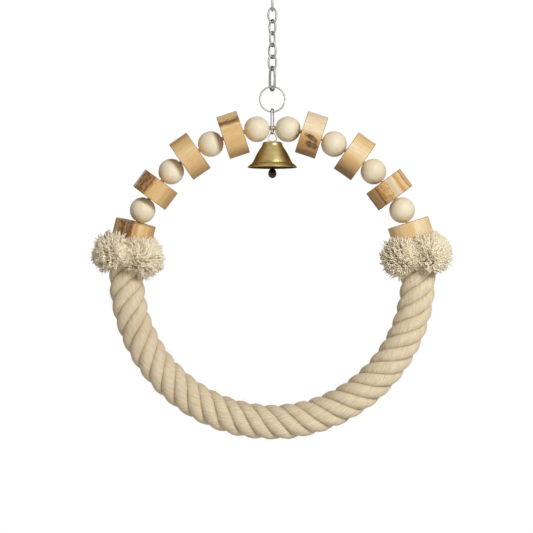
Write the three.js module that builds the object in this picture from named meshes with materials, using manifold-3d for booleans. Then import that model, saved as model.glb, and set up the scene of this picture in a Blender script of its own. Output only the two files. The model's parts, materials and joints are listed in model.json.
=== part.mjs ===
// Ring bird swing: a wire hoop that carries a rope perch, beads, cut wood blocks and a bell, hung on a chain.
// Millimetres, +Z up, +X to the right, and the viewer stands on the -Y side. The hoop lies in the XZ plane.
// The origin is the inside top of the quick link, where the hook that holds the swing bears.

import * as THREE from 'three';
import { mergeVertices } from 'three/addons/utils/BufferGeometryUtils.js';
import Module from 'manifold-3d';

const wasm = await Module();
wasm.setup();

// Clearance between pieces that touch on the real swing
const SEAT_GAP = 0.3;

// Quick link and its threaded sleeve
const QUICK_LINK_LENGTH = 28;
const QUICK_LINK_TURN = 90;
const QUICK_LINK_WIDTH = 12.5;
const QUICK_LINK_ROD = 2.4;
const QUICK_LINK_OPENING = 5.5;
const SLEEVE_LENGTH = 7.5;
const SLEEVE_ACROSS_FLATS = 4.8;
const THREAD_GAP = 0.25;

// Chain links, from the top down, each turned about the chain by its own angle in degrees
const CHAIN_LINK_LENGTH = 9.3;
const CHAIN_LINK_WIDTH = 6;
const CHAIN_WIRE = 1.15;
const CHAIN_END_BEND = 1.9;
const CHAIN_TURNS = [4, 88, 20, -46, 58, -40, 28];

// Connecting link under the chain
const CONNECTING_LINK_LENGTH = 14.6;
const CONNECTING_LINK_WIDTH = 7.4;
const CONNECTING_WIRE = 1.6;
const CONNECTING_TURN = -62;

// Split ring, two flat coils of one wire with a crossing step between them
const SPLIT_RING_DIAMETER = 15.1;
const SPLIT_RING_WIRE_HEIGHT = 0.9;
const SPLIT_RING_WIRE_WIDTH = 0.65;
const SPLIT_RING_COIL_GAP = 0.45;
const SPLIT_RING_STEP_ANGLE = 34;
const SPLIT_RING_END_GAP_ANGLE = 7;
const SPLIT_RING_START_ANGLE = 20;
const SPLIT_RING_SEAT = 0.7;

// Hanger link, nearly edge-on, which takes the split ring at its top and the hoop and the bell at its bottom
const HANGER_WIRE = 0.8;
const HANGER_INNER_WIDTH = 3.3;
const HANGER_TURN = 70;
const HANGER_TOP_ROOM = 1.25;
const RING_CENTRE_TO_HOOP_WIRE = 16.3;

// Hoop wire and the ferrule that closes it inside the rope. The hanger draws the wire up into a low peak, and
// at the angle of its spread, in degrees, the peak has died down to about a third.
const HOOP_RADIUS = 82.2;
const HOOP_PEAK = 1.5;
const HOOP_PEAK_SPREAD = 17.5;
const HOOP_WIRE = 2.5;
const HOOP_WIRE_END_GAP = 1;
const FERRULE_LENGTH = 10;
const FERRULE_WALL = 0.35;

// Beads and blocks threaded on the hoop wire, from the top down on each side
const BEAD_DIAMETER = 14.5;
const BEAD_BORE = 3.9;
const BEAD_TO_HANGER_GAP = 0.25;
const BLOCK_LENGTH = 11.9;
const BLOCK_CHAMFER = 0.4;
const BLOCK_DIAMETERS = { left: [24.8, 24.2, 22.7, 23], right: [24.4, 24.8, 23.7, 23.9] };
const BLOCK_BORE = 4.4;
const THREADED_GAP = 0.35;
const LEFT_END_BLOCK_LEAN = { inPlane: 3.5, towardsViewer: 3.5 };

// Frayed collars, where the rope ends are teased out round the last block
const COLLAR_RADIUS = 19.7;
const COLLAR_LENGTH = 23.6;
const COLLAR_BLOCK_SINK = 4;
const COLLAR_BLOCK_GAP = 0.4;
const COLLAR_TOP_ROUNDING = 9.4;
const COLLAR_BOTTOM_ROUNDING = 7.6;
const COLLAR_UNDERSIDE_ANGLE = -70;
const COLLAR_BORE = 4.9;

// Rope perch, four strands laid right-handed round the hoop wire
const ROPE_DIAMETER = 19.7;
const ROPE_STRANDS = 4;
const ROPE_LAY_LENGTH = 37;
const ROPE_GROOVE_DEPTH = 1.85;
const ROPE_SHOULDER_SHARE = 0.84;
const ROPE_STRAND_GAP = 0.35;
const ROPE_STEPS_PER_LAY = 12;

// Bell, its loop and its clapper
const BELL_CROWN_DIAMETER = 11.2;
const BELL_WAIST_DIAMETER = 11.9;
const BELL_SKIRT_DIAMETER = 21.8;
const BELL_RIM_DIAMETER = 27.8;
const BELL_HEIGHT = 14.6;
const BELL_WAIST_DROP = 2.4;
const BELL_LIP_HEIGHT = 3;
const BELL_WALL = 0.9;
const BELL_CROWN_ROUNDING = 1.1;
const BELL_RIDGE = 0.45;
const BELL_RIM_EDGE = 0.55;
const BELL_LOOP_WIRE = 0.6;
const BELL_LOOP_WIDTH = 5.4;
const BELL_LOOP_HEIGHT = 5.7;
const BELL_LOOP_DROP = 0.8;
const BELL_LOOP_NECK = 1.1;
const BELL_EYE_DIAMETER = 2.5;
const CLAPPER_WIRE = 0.6;
const CLAPPER_EYE_OPENING = 45;
const CLAPPER_BOB_DIAMETER = 4.4;
const CLAPPER_DROP = 14.7;

// How finely round things are divided
const WIRE_SIDES = 6;
const ROD_SIDES = 8;
const LINK_STEPS = 20;
const HANGER_STEPS = 24;
const QUICK_LINK_STEPS = 40;
const SLEEVE_BORE_STEPS = 6;
const SPLIT_RING_STEPS = 52;
const HOOP_WIRE_STEPS = 60;
const FERRULE_SIDES = 10;
const COLLAR_ROUNDING_STEPS = 5;
const BELL_CROWN_STEPS = 3;
const BELL_LOOP_STEPS = 42;
const CLAPPER_WIRE_STEPS = 34;
const CLAPPER_EYE_STEP = 30;
const CLAPPER_BOB_SIDES = 14;
const CLAPPER_BOB_STEPS = 8;
const BEAD_SIDES = 14;
const BEAD_ARC_STEPS = 7;
const BLOCK_SIDES = 20;
const BELL_SIDES = 28;
const COLLAR_SIDES = 20;

const DEGREE = Math.PI / 180;

const swing = new THREE.Group();

function finish(colour, roughness, metalness) {
  return new THREE.MeshStandardMaterial({ color: colour, roughness, metalness });
}

function steel() {
  return finish(0xb9b6ad, 0.32, 1);
}

function cotton() {
  return finish(0xe2d4b4, 0.95, 0);
}

function paleWood() {
  return finish(0xe9d9b8, 0.45, 0);
}

function honeyWood() {
  return finish(0xc99a5b, 0.6, 0);
}

// A named piece, added to its parent group
function piece(name, geometry, material, parent) {
  const mesh = new THREE.Mesh(geometry, material);
  mesh.name = name;
  parent.add(mesh);
  return mesh;
}

// A group at a height above or below its parent, turned about the vertical
function hungAt(height, turn, parent) {
  const group = new THREE.Group();
  group.position.z = height;
  group.rotation.z = turn * DEGREE;
  parent.add(group);
  return group;
}

// A wire's route drawn flat, x across and y up, stood upright in the XZ plane
class UprightRoute extends THREE.Curve {
  constructor(route) {
    super();
    this.route = route;
  }

  getPoint(share, target = new THREE.Vector3()) {
    const point = this.route.getPoint(share);
    return target.set(point.x, 0, point.y);
  }
}

function roundSection(diameter, sides) {
  const corners = [];
  for (let side = 0; side < sides; side += 1) {
    const angle = (side / sides) * Math.PI * 2;
    corners.push(new THREE.Vector2(Math.cos(angle), Math.sin(angle)).multiplyScalar(diameter / 2));
  }
  return new THREE.Shape(corners);
}

function openWire(route, diameter, steps, sides) {
  return new THREE.ExtrudeGeometry(roundSection(diameter, sides), {
    steps,
    extrudePath: new UprightRoute(route),
  });
}

function closedWire(route, diameter, steps, sides) {
  return new THREE.TubeGeometry(new UprightRoute(route), steps, diameter / 2, sides, true);
}

// An oval link with round ends and straight sides, measured over the wire
function ovalRoute(length, width, wire) {
  const bend = (width - wire) / 2;
  const straight = (length - width) / 2;
  const route = new THREE.Path();
  route.moveTo(bend, -straight);
  route.lineTo(bend, straight);
  route.absarc(0, straight, bend, 0, Math.PI, false);
  route.lineTo(-bend, -straight);
  route.absarc(0, -straight, bend, Math.PI, Math.PI * 2, false);
  return route;
}

// A link whose sides bulge: two end arcs of the given bend joined by two long side arcs along the wire
function bulgedRoute(length, width, wire, endBend) {
  const across = (width - wire) / 2;
  const endCentre = (length - wire) / 2 - endBend;
  const sideBend = (across ** 2 + endCentre ** 2 - endBend ** 2) / (2 * (across - endBend));
  const sideCentre = sideBend - across;
  const join = Math.atan2(endCentre, sideCentre);
  const route = new THREE.Path();
  route.absarc(-sideCentre, 0, sideBend, -join, join, false);
  route.absarc(0, endCentre, endBend, join, Math.PI - join, false);
  route.absarc(sideCentre, 0, sideBend, Math.PI - join, Math.PI + join, false);
  route.absarc(0, -endCentre, endBend, Math.PI + join, Math.PI * 2 - join, false);
  return route;
}

// A turned solid about +Z from a closed outline of radius and height, given anticlockwise
function turned(outline, sides) {
  const points = [...outline, outline[0]].map(([radius, height]) => new THREE.Vector2(radius, height));
  return new THREE.LatheGeometry(points, sides).rotateX(Math.PI / 2);
}

// Points on an arc of radius and height, both ends included
function arc(centreRadius, centreHeight, radius, fromDegrees, toDegrees, steps) {
  const points = [];
  for (let step = 0; step <= steps; step += 1) {
    const angle = (fromDegrees + ((toDegrees - fromDegrees) * step) / steps) * DEGREE;
    points.push([centreRadius + radius * Math.cos(angle), centreHeight + radius * Math.sin(angle)]);
  }
  return points;
}

// A solid skinned over rings of equal point counts, capped at both ends by fans from each ring's first point.
// From the given side on, the faces are split along their other diagonal.
function skinned(rings, otherDiagonalFrom = Infinity) {
  const count = rings[0].length;
  const positions = [];
  for (const ring of rings) {
    for (const point of ring) {
      positions.push(point.x, point.y, point.z);
    }
  }
  const faces = [];
  for (let step = 0; step + 1 < rings.length; step += 1) {
    for (let side = 0; side < count; side += 1) {
      const next = (side + 1) % count;
      const a = step * count + side;
      const b = step * count + next;
      const c = (step + 1) * count + next;
      const d = (step + 1) * count + side;
      if (side < otherDiagonalFrom) {
        faces.push(a, b, c, a, c, d);
      } else {
        faces.push(a, b, d, b, c, d);
      }
    }
  }
  const last = (rings.length - 1) * count;
  for (let side = 1; side + 1 < count; side += 1) {
    faces.push(0, side + 1, side);
    faces.push(last, last + side, last + side + 1);
  }
  const geometry = new THREE.BufferGeometry();
  geometry.setAttribute('position', new THREE.Float32BufferAttribute(positions, 3));
  geometry.setIndex(faces);
  geometry.computeVertexNormals();
  return geometry;
}

function solidFrom(geometry) {
  const bare = geometry.clone();
  bare.deleteAttribute('normal');
  bare.deleteAttribute('uv');
  const merged = mergeVertices(bare, 1e-4);
  const vertProperties = new Float32Array(merged.attributes.position.array);
  const triVerts = new Uint32Array(merged.index.array);
  return new wasm.Manifold(new wasm.Mesh({ numProp: 3, vertProperties, triVerts }));
}

// The first geometry with the second cut out of it
function cutFrom(geometry, cutter) {
  const mesh = solidFrom(geometry).subtract(solidFrom(cutter)).getMesh();
  const result = new THREE.BufferGeometry();
  result.setAttribute('position', new THREE.Float32BufferAttribute(mesh.vertProperties, 3));
  result.setIndex([...mesh.triVerts]);
  result.computeVertexNormals();
  return result;
}

// Quick link: a bent rod with an opening in its right leg, closed by the sleeve

const quickLinkBend = (QUICK_LINK_WIDTH - QUICK_LINK_ROD) / 2;
const quickLinkStraight = (QUICK_LINK_LENGTH - QUICK_LINK_WIDTH) / 2;
const quickLinkCentre = QUICK_LINK_ROD - QUICK_LINK_LENGTH / 2;
const threadLength = (SLEEVE_LENGTH - QUICK_LINK_OPENING) / 2;
const openingTop = quickLinkStraight - threadLength - SEAT_GAP;
const openingBottom = openingTop - QUICK_LINK_OPENING;

function quickLinkRoute() {
  const route = new THREE.Path();
  route.moveTo(quickLinkBend, openingTop);
  route.lineTo(quickLinkBend, quickLinkStraight);
  route.absarc(0, quickLinkStraight, quickLinkBend, 0, Math.PI, false);
  route.lineTo(-quickLinkBend, -quickLinkStraight);
  route.absarc(0, -quickLinkStraight, quickLinkBend, Math.PI, Math.PI * 2, false);
  route.lineTo(quickLinkBend, openingBottom);
  return route;
}

function sleeveGeometry() {
  const cornerRadius = SLEEVE_ACROSS_FLATS / 2 / Math.cos(Math.PI / 6);
  const hexagon = roundSection(cornerRadius * 2, 6);
  const bore = new THREE.Path();
  bore.absarc(0, 0, QUICK_LINK_ROD / 2 + THREAD_GAP, 0, Math.PI * 2, true);
  hexagon.holes.push(bore);
  return new THREE.ExtrudeGeometry(hexagon, {
    depth: SLEEVE_LENGTH,
    bevelEnabled: false,
    curveSegments: SLEEVE_BORE_STEPS,
  });
}

const quickLink = openWire(quickLinkRoute(), QUICK_LINK_ROD, QUICK_LINK_STEPS, ROD_SIDES);
const quickLinkGroup = hungAt(quickLinkCentre, QUICK_LINK_TURN, swing);
piece('quick_link', quickLink, steel(), quickLinkGroup);
const sleeve = piece('quick_link_sleeve', sleeveGeometry(), steel(), quickLinkGroup);
sleeve.position.set(quickLinkBend, 0, openingBottom - threadLength);

// Chain: each link's inside top sits just above the inside bottom of the one over it

let insideBottom = QUICK_LINK_ROD * 2 - QUICK_LINK_LENGTH;

// Hangs a link of this length and wire on the last inside bottom, and returns its group
function hangLink(length, wire, turn) {
  const insideLength = length - wire * 2;
  const insideTop = insideBottom + SEAT_GAP;
  insideBottom = insideTop - insideLength;
  return hungAt(insideTop - insideLength / 2, turn, swing);
}

CHAIN_TURNS.forEach((turn, index) => {
  const route = bulgedRoute(CHAIN_LINK_LENGTH, CHAIN_LINK_WIDTH, CHAIN_WIRE, CHAIN_END_BEND);
  const link = closedWire(route, CHAIN_WIRE, LINK_STEPS, WIRE_SIDES);
  piece(`chain_link_${index + 1}`, link, steel(), hangLink(CHAIN_LINK_LENGTH, CHAIN_WIRE, turn));
});

const connectingRoute = ovalRoute(CONNECTING_LINK_LENGTH, CONNECTING_LINK_WIDTH, CONNECTING_WIRE);
const connectingLink = closedWire(connectingRoute, CONNECTING_WIRE, LINK_STEPS, ROD_SIDES);
const connectingGroup = hangLink(CONNECTING_LINK_LENGTH, CONNECTING_WIRE, CONNECTING_TURN);
piece('connecting_link', connectingLink, steel(), connectingGroup);

// Split ring: the first coil in front, a step across, and the second coil behind

const splitRingRadius = (SPLIT_RING_DIAMETER - SPLIT_RING_WIRE_HEIGHT) / 2;
const splitRingInside = SPLIT_RING_DIAMETER / 2 - SPLIT_RING_WIRE_HEIGHT;
const splitRingCentre = insideBottom + SPLIT_RING_SEAT - splitRingInside;
const coilSpacing = SPLIT_RING_WIRE_WIDTH + SPLIT_RING_COIL_GAP;

function splitRingRings() {
  const coilAngle = 360 - SPLIT_RING_END_GAP_ANGLE;
  const stepStart = coilAngle - SPLIT_RING_STEP_ANGLE;
  const wholeAngle = coilAngle * 2 - SPLIT_RING_STEP_ANGLE;
  const rings = [];
  for (let step = 0; step <= SPLIT_RING_STEPS; step += 1) {
    const along = (wholeAngle * step) / SPLIT_RING_STEPS;
    const across = THREE.MathUtils.smoothstep(along, stepStart, stepStart + SPLIT_RING_STEP_ANGLE);
    const angle = (SPLIT_RING_START_ANGLE + along) * DEGREE;
    const outwards = new THREE.Vector3(Math.cos(angle), 0, Math.sin(angle));
    const middle = outwards.clone().multiplyScalar(splitRingRadius);
    middle.y = (across - 0.5) * coilSpacing;
    const corners = [[-1, -1], [1, -1], [1, 1], [-1, 1]].map(([high, wide]) => {
      const corner = middle.clone().addScaledVector(outwards, (high * SPLIT_RING_WIRE_HEIGHT) / 2);
      corner.y += (wide * SPLIT_RING_WIRE_WIDTH) / 2;
      return corner;
    });
    rings.push(corners);
  }
  return rings;
}

// The least gap between the two coils, measured between ring corners more than half a turn apart
function leastCoilGap(rings) {
  let least = Infinity;
  const halfTurn = Math.floor(rings.length / 4);
  for (let first = 0; first < rings.length; first += 1) {
    for (let second = first + halfTurn; second < rings.length; second += 1) {
      for (const a of rings[first]) {
        for (const b of rings[second]) {
          least = Math.min(least, a.distanceTo(b));
        }
      }
    }
  }
  return least;
}

const splitRing = splitRingRings();
console.log(`split ring: least gap between its coils ${leastCoilGap(splitRing).toFixed(2)} mm`);
piece('split_ring', skinned(splitRing), steel(), hungAt(splitRingCentre, 0, swing));

// Hanger link: round the split ring's lowest wire, the hoop wire and the bell's loop

const hoopTop = splitRingCentre - RING_CENTRE_TO_HOOP_WIRE;
const loopTop = hoopTop - HOOP_WIRE / 2 - BELL_LOOP_DROP;
const hangerInsideBottom = loopTop - BELL_LOOP_WIRE - SEAT_GAP;
const hangerInsideTop = splitRingCentre - splitRingRadius + HANGER_TOP_ROOM;
const hangerLength = hangerInsideTop - hangerInsideBottom + HANGER_WIRE * 2;
const hangerWidth = HANGER_INNER_WIDTH + HANGER_WIRE * 2;
const hangerGroup = hungAt((hangerInsideTop + hangerInsideBottom) / 2, HANGER_TURN, swing);
const hangerRoute = ovalRoute(hangerLength, hangerWidth, HANGER_WIRE);
piece('hanger_link', closedWire(hangerRoute, HANGER_WIRE, HANGER_STEPS, WIRE_SIDES), steel(), hangerGroup);

// Hoop: a group at the hoop's centre, where an angle of zero is the top and angles grow to the right

const hoop = hungAt(hoopTop - HOOP_RADIUS - HOOP_PEAK, 0, swing);

// How far the wire runs from the hoop's centre at an angle
function hoopReach(angle) {
  return HOOP_RADIUS + HOOP_PEAK * Math.exp(-((angle / HOOP_PEAK_SPREAD) ** 2));
}

// The wire's slope against a true circle at an angle, in radians
function hoopSlope(angle) {
  const peakFall = ((hoopReach(angle) - HOOP_RADIUS) * 2 * angle) / HOOP_PEAK_SPREAD ** 2;
  return Math.atan(peakFall / DEGREE / hoopReach(angle));
}

// A station on the hoop wire: local X runs along the wire, local Z points out of the hoop
function stationAt(angle) {
  const arm = new THREE.Group();
  arm.rotation.y = angle * DEGREE;
  const station = new THREE.Group();
  station.position.z = hoopReach(angle);
  station.rotation.y = hoopSlope(angle);
  arm.add(station);
  hoop.add(arm);
  return station;
}

// A turned piece laid along the hoop wire
function alongWire(geometry) {
  return geometry.rotateY(Math.PI / 2);
}

function hoopAngle(length) {
  return Math.asin(length / HOOP_RADIUS) / DEGREE;
}

// The wire opens at the bottom, where the ferrule closes it
const hoopWireRoute = {
  getPoint(share) {
    const angle = (share * 2 - 1) * (180 - hoopAngle(HOOP_WIRE_END_GAP / 2));
    const outwards = new THREE.Vector2(Math.sin(angle * DEGREE), Math.cos(angle * DEGREE));
    return outwards.multiplyScalar(hoopReach(angle));
  },
};

function tubeOutline(innerRadius, outerRadius, length) {
  const half = length / 2;
  return [[innerRadius, -half], [outerRadius, -half], [outerRadius, half], [innerRadius, half]];
}

piece('core_wire', openWire(hoopWireRoute, HOOP_WIRE, HOOP_WIRE_STEPS, WIRE_SIDES), steel(), hoop);
const ferruleBow = FERRULE_LENGTH ** 2 / (8 * HOOP_RADIUS);
const ferruleBore = HOOP_WIRE / 2 + ferruleBow + SEAT_GAP;
const ferruleOutline = tubeOutline(ferruleBore, ferruleBore + FERRULE_WALL, FERRULE_LENGTH);
const ferrule = alongWire(turned(ferruleOutline, FERRULE_SIDES));
piece('wire_ferrule', ferrule, finish(0x9a978f, 0.45, 1), stationAt(180)).position.z = -ferruleBow / 2;

// Beads and blocks in turn, from the hanger outwards

const hangerAcross = (HANGER_INNER_WIDTH + HANGER_WIRE) * Math.cos(HANGER_TURN * DEGREE) + HANGER_WIRE;
const firstBeadAngle = hoopAngle((BEAD_DIAMETER + hangerAcross) / 2 + BEAD_TO_HANGER_GAP);
const threadedStep = hoopAngle((BEAD_DIAMETER + BLOCK_LENGTH) / 2 + THREADED_GAP);

function beadGeometry() {
  const radius = BEAD_DIAMETER / 2;
  const boreAngle = Math.acos(BEAD_BORE / BEAD_DIAMETER) / DEGREE;
  return alongWire(turned(arc(0, 0, radius, -boreAngle, boreAngle, BEAD_ARC_STEPS), BEAD_SIDES));
}

function blockGeometry(diameter) {
  const radius = diameter / 2;
  const half = BLOCK_LENGTH / 2;
  const bore = BLOCK_BORE / 2;
  const outline = [
    [bore, -half],
    [radius - BLOCK_CHAMFER, -half],
    [radius, -half + BLOCK_CHAMFER],
    [radius, half - BLOCK_CHAMFER],
    [radius - BLOCK_CHAMFER, half],
    [bore, half],
  ];
  return alongWire(turned(outline, BLOCK_SIDES));
}

// The last block on the left leans in its bore
function leanLeftEndBlock(object) {
  object.rotation.y = -LEFT_END_BLOCK_LEAN.inPlane * DEGREE;
  object.rotation.z = -LEFT_END_BLOCK_LEAN.towardsViewer * DEGREE;
}

const SIDES = [['left', -1], ['right', 1]];
const blocksPerSide = BLOCK_DIAMETERS.left.length;

for (const [side, direction] of SIDES) {
  BLOCK_DIAMETERS[side].forEach((diameter, index) => {
    const beadAngle = firstBeadAngle + threadedStep * index * 2;
    const beadStation = stationAt(direction * beadAngle);
    const blockStation = stationAt(direction * (beadAngle + threadedStep));
    piece(`bead_${side}_${index + 1}`, beadGeometry(), paleWood(), beadStation);
    const block = piece(`block_${side}_${index + 1}`, blockGeometry(diameter), honeyWood(), blockStation);
    if (side === 'left' && index === blocksPerSide - 1) {
      leanLeftEndBlock(block);
    }
  });
}

// Frayed collars: a mop of yarn on the end of the rope, with a cup where the last block sinks into it

const endBlockAngle = firstBeadAngle + threadedStep * (blocksPerSide * 2 - 1);
const collarAngle = endBlockAngle + hoopAngle(BLOCK_LENGTH / 2 - COLLAR_BLOCK_SINK + COLLAR_LENGTH / 2);
const ropeStartAngle = collarAngle + hoopAngle(COLLAR_LENGTH / 2 + SEAT_GAP);

// The mop before it is cut, its base at -Z reaching into the rope's end on one side
function mopGeometry() {
  const half = COLLAR_LENGTH / 2;
  const bore = COLLAR_BORE / 2;
  const rope = ROPE_DIAMETER / 2;
  const base = -half - rope * Math.tan((ropeStartAngle - collarAngle) * DEGREE);
  const rounding = (radius, height, from, to) => {
    return arc(COLLAR_RADIUS - radius, height, radius, from, to, COLLAR_ROUNDING_STEPS);
  };
  const undersideHeight = COLLAR_BOTTOM_ROUNDING - half;
  const underside = rounding(COLLAR_BOTTOM_ROUNDING, undersideHeight, COLLAR_UNDERSIDE_ANGLE, 0);
  const top = rounding(COLLAR_TOP_ROUNDING, half - COLLAR_TOP_ROUNDING, 0, 90);
  return turned([[bore, base], [rope, base], ...underside, ...top, [bore, half]], COLLAR_SIDES);
}

// The room that the last block takes, as a cylinder about local X
function cupCutter(diameter) {
  const radius = diameter / 2 + COLLAR_BLOCK_GAP;
  const length = BLOCK_LENGTH + COLLAR_BLOCK_GAP * 2;
  return new THREE.CylinderGeometry(radius, radius, length, COLLAR_SIDES).rotateZ(Math.PI / 2);
}

// The rope's side of the plane where the collar meets it, as a box about local X
function ropeCutter(direction) {
  const size = COLLAR_RADIUS * 2;
  return new THREE.BoxGeometry(size, size, size).translate(direction * (size / 2 - SEAT_GAP), 0, 0);
}

// An empty object at a station, for working out where a cutter lies
function markerAt(angle) {
  const marker = new THREE.Object3D();
  stationAt(angle).add(marker);
  return marker;
}

for (const [side, direction] of SIDES) {
  const mop = markerAt(direction * collarAngle);
  mop.rotation.y = (-direction * Math.PI) / 2;
  const cup = markerAt(direction * endBlockAngle);
  if (side === 'left') {
    leanLeftEndBlock(cup);
  }
  const ropeEnd = markerAt(direction * ropeStartAngle);
  const cutters = [
    [cup, cupCutter(BLOCK_DIAMETERS[side][blocksPerSide - 1])],
    [ropeEnd, ropeCutter(direction)],
  ];
  mop.updateWorldMatrix(true, false);
  const intoMop = mop.matrixWorld.clone().invert();
  let collar = mopGeometry();
  for (const [marker, cutter] of cutters) {
    marker.updateWorldMatrix(true, false);
    collar = cutFrom(collar, cutter.applyMatrix4(marker.matrixWorld).applyMatrix4(intoMop));
  }
  piece(`frayed_collar_${side}`, collar, cotton(), mop);
}

// Rope perch: each strand is a wedge with a round back, turned steadily as it follows the hoop

const ropeAngle = (180 - ropeStartAngle) * 2;
const ropeLength = HOOP_RADIUS * ropeAngle * DEGREE;

// The strands' flat inner faces stay clear of the ferrule
const facesInwards = Math.cos(Math.PI / ROPE_STRANDS / 2) * Math.cos(Math.PI / ROPE_STEPS_PER_LAY);
const ropeBore = (ferruleBore + FERRULE_WALL + ferruleBow + SEAT_GAP) / facesInwards;
const ropeSteps = Math.round((ropeLength / ROPE_LAY_LENGTH) * ROPE_STEPS_PER_LAY);

// One strand's section as radius and angle from its middle, starting at the middle of its inner side
function strandSection() {
  const outer = ROPE_DIAMETER / 2;
  const groove = outer - ROPE_GROOVE_DEPTH;
  const inner = ropeBore;
  const half = Math.PI / ROPE_STRANDS;
  const edge = (radius) => half - Math.asin(ROPE_STRAND_GAP / 2 / radius);
  const shoulder = groove + ROPE_GROOVE_DEPTH * ROPE_SHOULDER_SHARE;
  return [
    [inner, 0],
    [inner, -edge(inner)],
    [groove, -edge(groove)],
    [shoulder, -half / 2],
    [outer, 0],
    [shoulder, half / 2],
    [groove, edge(groove)],
    [inner, edge(inner)],
  ];
}

function strandGeometry(number) {
  const section = strandSection();
  const rings = [];
  for (let step = 0; step <= ropeSteps; step += 1) {
    const along = step / ropeSteps;
    const hoopTurn = (ropeStartAngle + ropeAngle * along) * DEGREE;
    const fromMiddle = (along - 0.5) * ropeLength;
    const layTurn = (fromMiddle / ROPE_LAY_LENGTH + number / ROPE_STRANDS) * Math.PI * 2;
    const outwards = new THREE.Vector3(Math.sin(hoopTurn), 0, Math.cos(hoopTurn));
    const forwards = new THREE.Vector3(0, -1, 0);
    const middle = outwards.clone().multiplyScalar(HOOP_RADIUS);
    rings.push(section.map(([radius, angle]) => {
      const point = middle.clone().addScaledVector(outwards, radius * Math.cos(layTurn + angle));
      return point.addScaledVector(forwards, radius * Math.sin(layTurn + angle));
    }));
  }
  return skinned(rings, section.length / 2);
}

for (let number = 0; number < ROPE_STRANDS; number += 1) {
  piece(`rope_strand_${number + 1}`, strandGeometry(number), cotton(), hoop);
}

// Bell: heights are measured from the top of its crown

const crownTop = loopTop - BELL_LOOP_HEIGHT;
const bell = hungAt(crownTop, 0, swing);
const neckHole = (BELL_LOOP_NECK + BELL_LOOP_WIRE) / 2 + SEAT_GAP;

function bellGeometry() {
  const crown = BELL_CROWN_DIAMETER / 2;
  const waist = BELL_WAIST_DIAMETER / 2;
  const skirt = BELL_SKIRT_DIAMETER / 2;
  const rim = BELL_RIM_DIAMETER / 2;
  const lipTop = BELL_LIP_HEIGHT - BELL_HEIGHT;
  const ridge = skirt + BELL_RIDGE;
  const outline = [
    [rim - BELL_WALL, -BELL_HEIGHT],
    [rim, -BELL_HEIGHT],
    [rim, -BELL_HEIGHT + BELL_RIM_EDGE],
    [ridge, lipTop],
    [ridge, lipTop + BELL_RIDGE],
    [skirt, lipTop + BELL_RIDGE * 2],
    [waist, -BELL_WAIST_DROP],
    ...arc(crown - BELL_CROWN_ROUNDING, -BELL_CROWN_ROUNDING, BELL_CROWN_ROUNDING, 0, 90, BELL_CROWN_STEPS),
    [neckHole, 0],
    [neckHole, -BELL_WALL],
    [crown - BELL_CROWN_ROUNDING, -BELL_WALL],
    [waist - BELL_WALL, -BELL_WAIST_DROP],
    [skirt - BELL_WALL, lipTop + BELL_RIDGE],
  ];
  return turned(outline, BELL_SIDES);
}

// The loop: a pear of wire above the crown whose neck passes through it and opens into a small eye inside
function bellLoopGeometry() {
  const wire = BELL_LOOP_WIRE / 2;
  const wide = BELL_LOOP_WIDTH / 2 - wire;
  const neck = BELL_LOOP_NECK / 2;
  const top = BELL_LOOP_HEIGHT - wire;
  const eye = (BELL_EYE_DIAMETER - BELL_LOOP_WIRE) / 2;
  const eyeBottom = clapperPivot;
  const halfLoop = [
    [wide * 0.33, top * 0.94],
    [wide * 0.52, top * 0.78],
    [wide * 0.73, top * 0.6],
    [wide * 0.92, top * 0.45],
    [wide, top * 0.3],
    [wide * 0.8, top * 0.17],
    [neck * 1.5, top * 0.11],
    [neck, -BELL_WALL],
    [eye, eyeBottom + eye],
    [eye * 0.72, eyeBottom + eye * 0.28],
  ];
  const right = halfLoop.map(([across, up]) => new THREE.Vector3(across, 0, up));
  const left = halfLoop.map(([across, up]) => new THREE.Vector3(-across, 0, up)).reverse();
  const bottom = new THREE.Vector3(0, 0, eyeBottom);
  const summit = new THREE.Vector3(0, 0, top);
  const route = new THREE.CatmullRomCurve3([summit, ...right, bottom, ...left], true, 'centripetal');
  return new THREE.TubeGeometry(route, BELL_LOOP_STEPS, wire, WIRE_SIDES, true);
}

// The clapper swings on the bottom of the eye inside the bell
const clapperPivot = -(BELL_WALL + SEAT_GAP + BELL_EYE_DIAMETER - BELL_LOOP_WIRE / 2);

function clapperWireGeometry() {
  const eye = (BELL_LOOP_WIRE + CLAPPER_WIRE) / 2 + SEAT_GAP;
  const points = [];
  for (let angle = -CLAPPER_EYE_OPENING; angle <= 180 + CLAPPER_EYE_OPENING; angle += CLAPPER_EYE_STEP) {
    points.push(new THREE.Vector2(Math.cos(angle * DEGREE), Math.sin(angle * DEGREE)).multiplyScalar(eye));
  }
  points.push(new THREE.Vector2(0, -eye * 2.2));
  points.push(new THREE.Vector2(0, -eye * 3));
  points.push(new THREE.Vector2(0, -CLAPPER_DROP));
  const route = new THREE.SplineCurve(points);
  return openWire(route, CLAPPER_WIRE, CLAPPER_WIRE_STEPS, WIRE_SIDES).rotateZ(Math.PI / 2);
}

function clapperBobGeometry() {
  const radius = CLAPPER_BOB_DIAMETER / 2;
  const bore = CLAPPER_WIRE / 2 + SEAT_GAP;
  const topAngle = Math.acos(bore / radius) / DEGREE;
  const outside = arc(0, 0, radius, -90, topAngle, CLAPPER_BOB_STEPS);
  return turned([...outside, [bore, -SEAT_GAP], [0, -SEAT_GAP]], CLAPPER_BOB_SIDES);
}

const brass = finish(0xb08d4a, 0.3, 1);
piece('bell_shell', bellGeometry(), brass, bell);
piece('bell_loop', bellLoopGeometry(), steel(), bell);
const clapper = hungAt(clapperPivot, 0, bell);
piece('clapper_wire', clapperWireGeometry(), steel(), clapper);
const bob = piece('clapper_bob', clapperBobGeometry(), finish(0x3a2a1c, 0.5, 1), clapper);
bob.position.z = -CLAPPER_DROP;

export default swing;
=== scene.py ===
"""Looks for the ring bird swing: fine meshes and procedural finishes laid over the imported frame."""

import json
import math
from functools import cache, partialmethod

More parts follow.
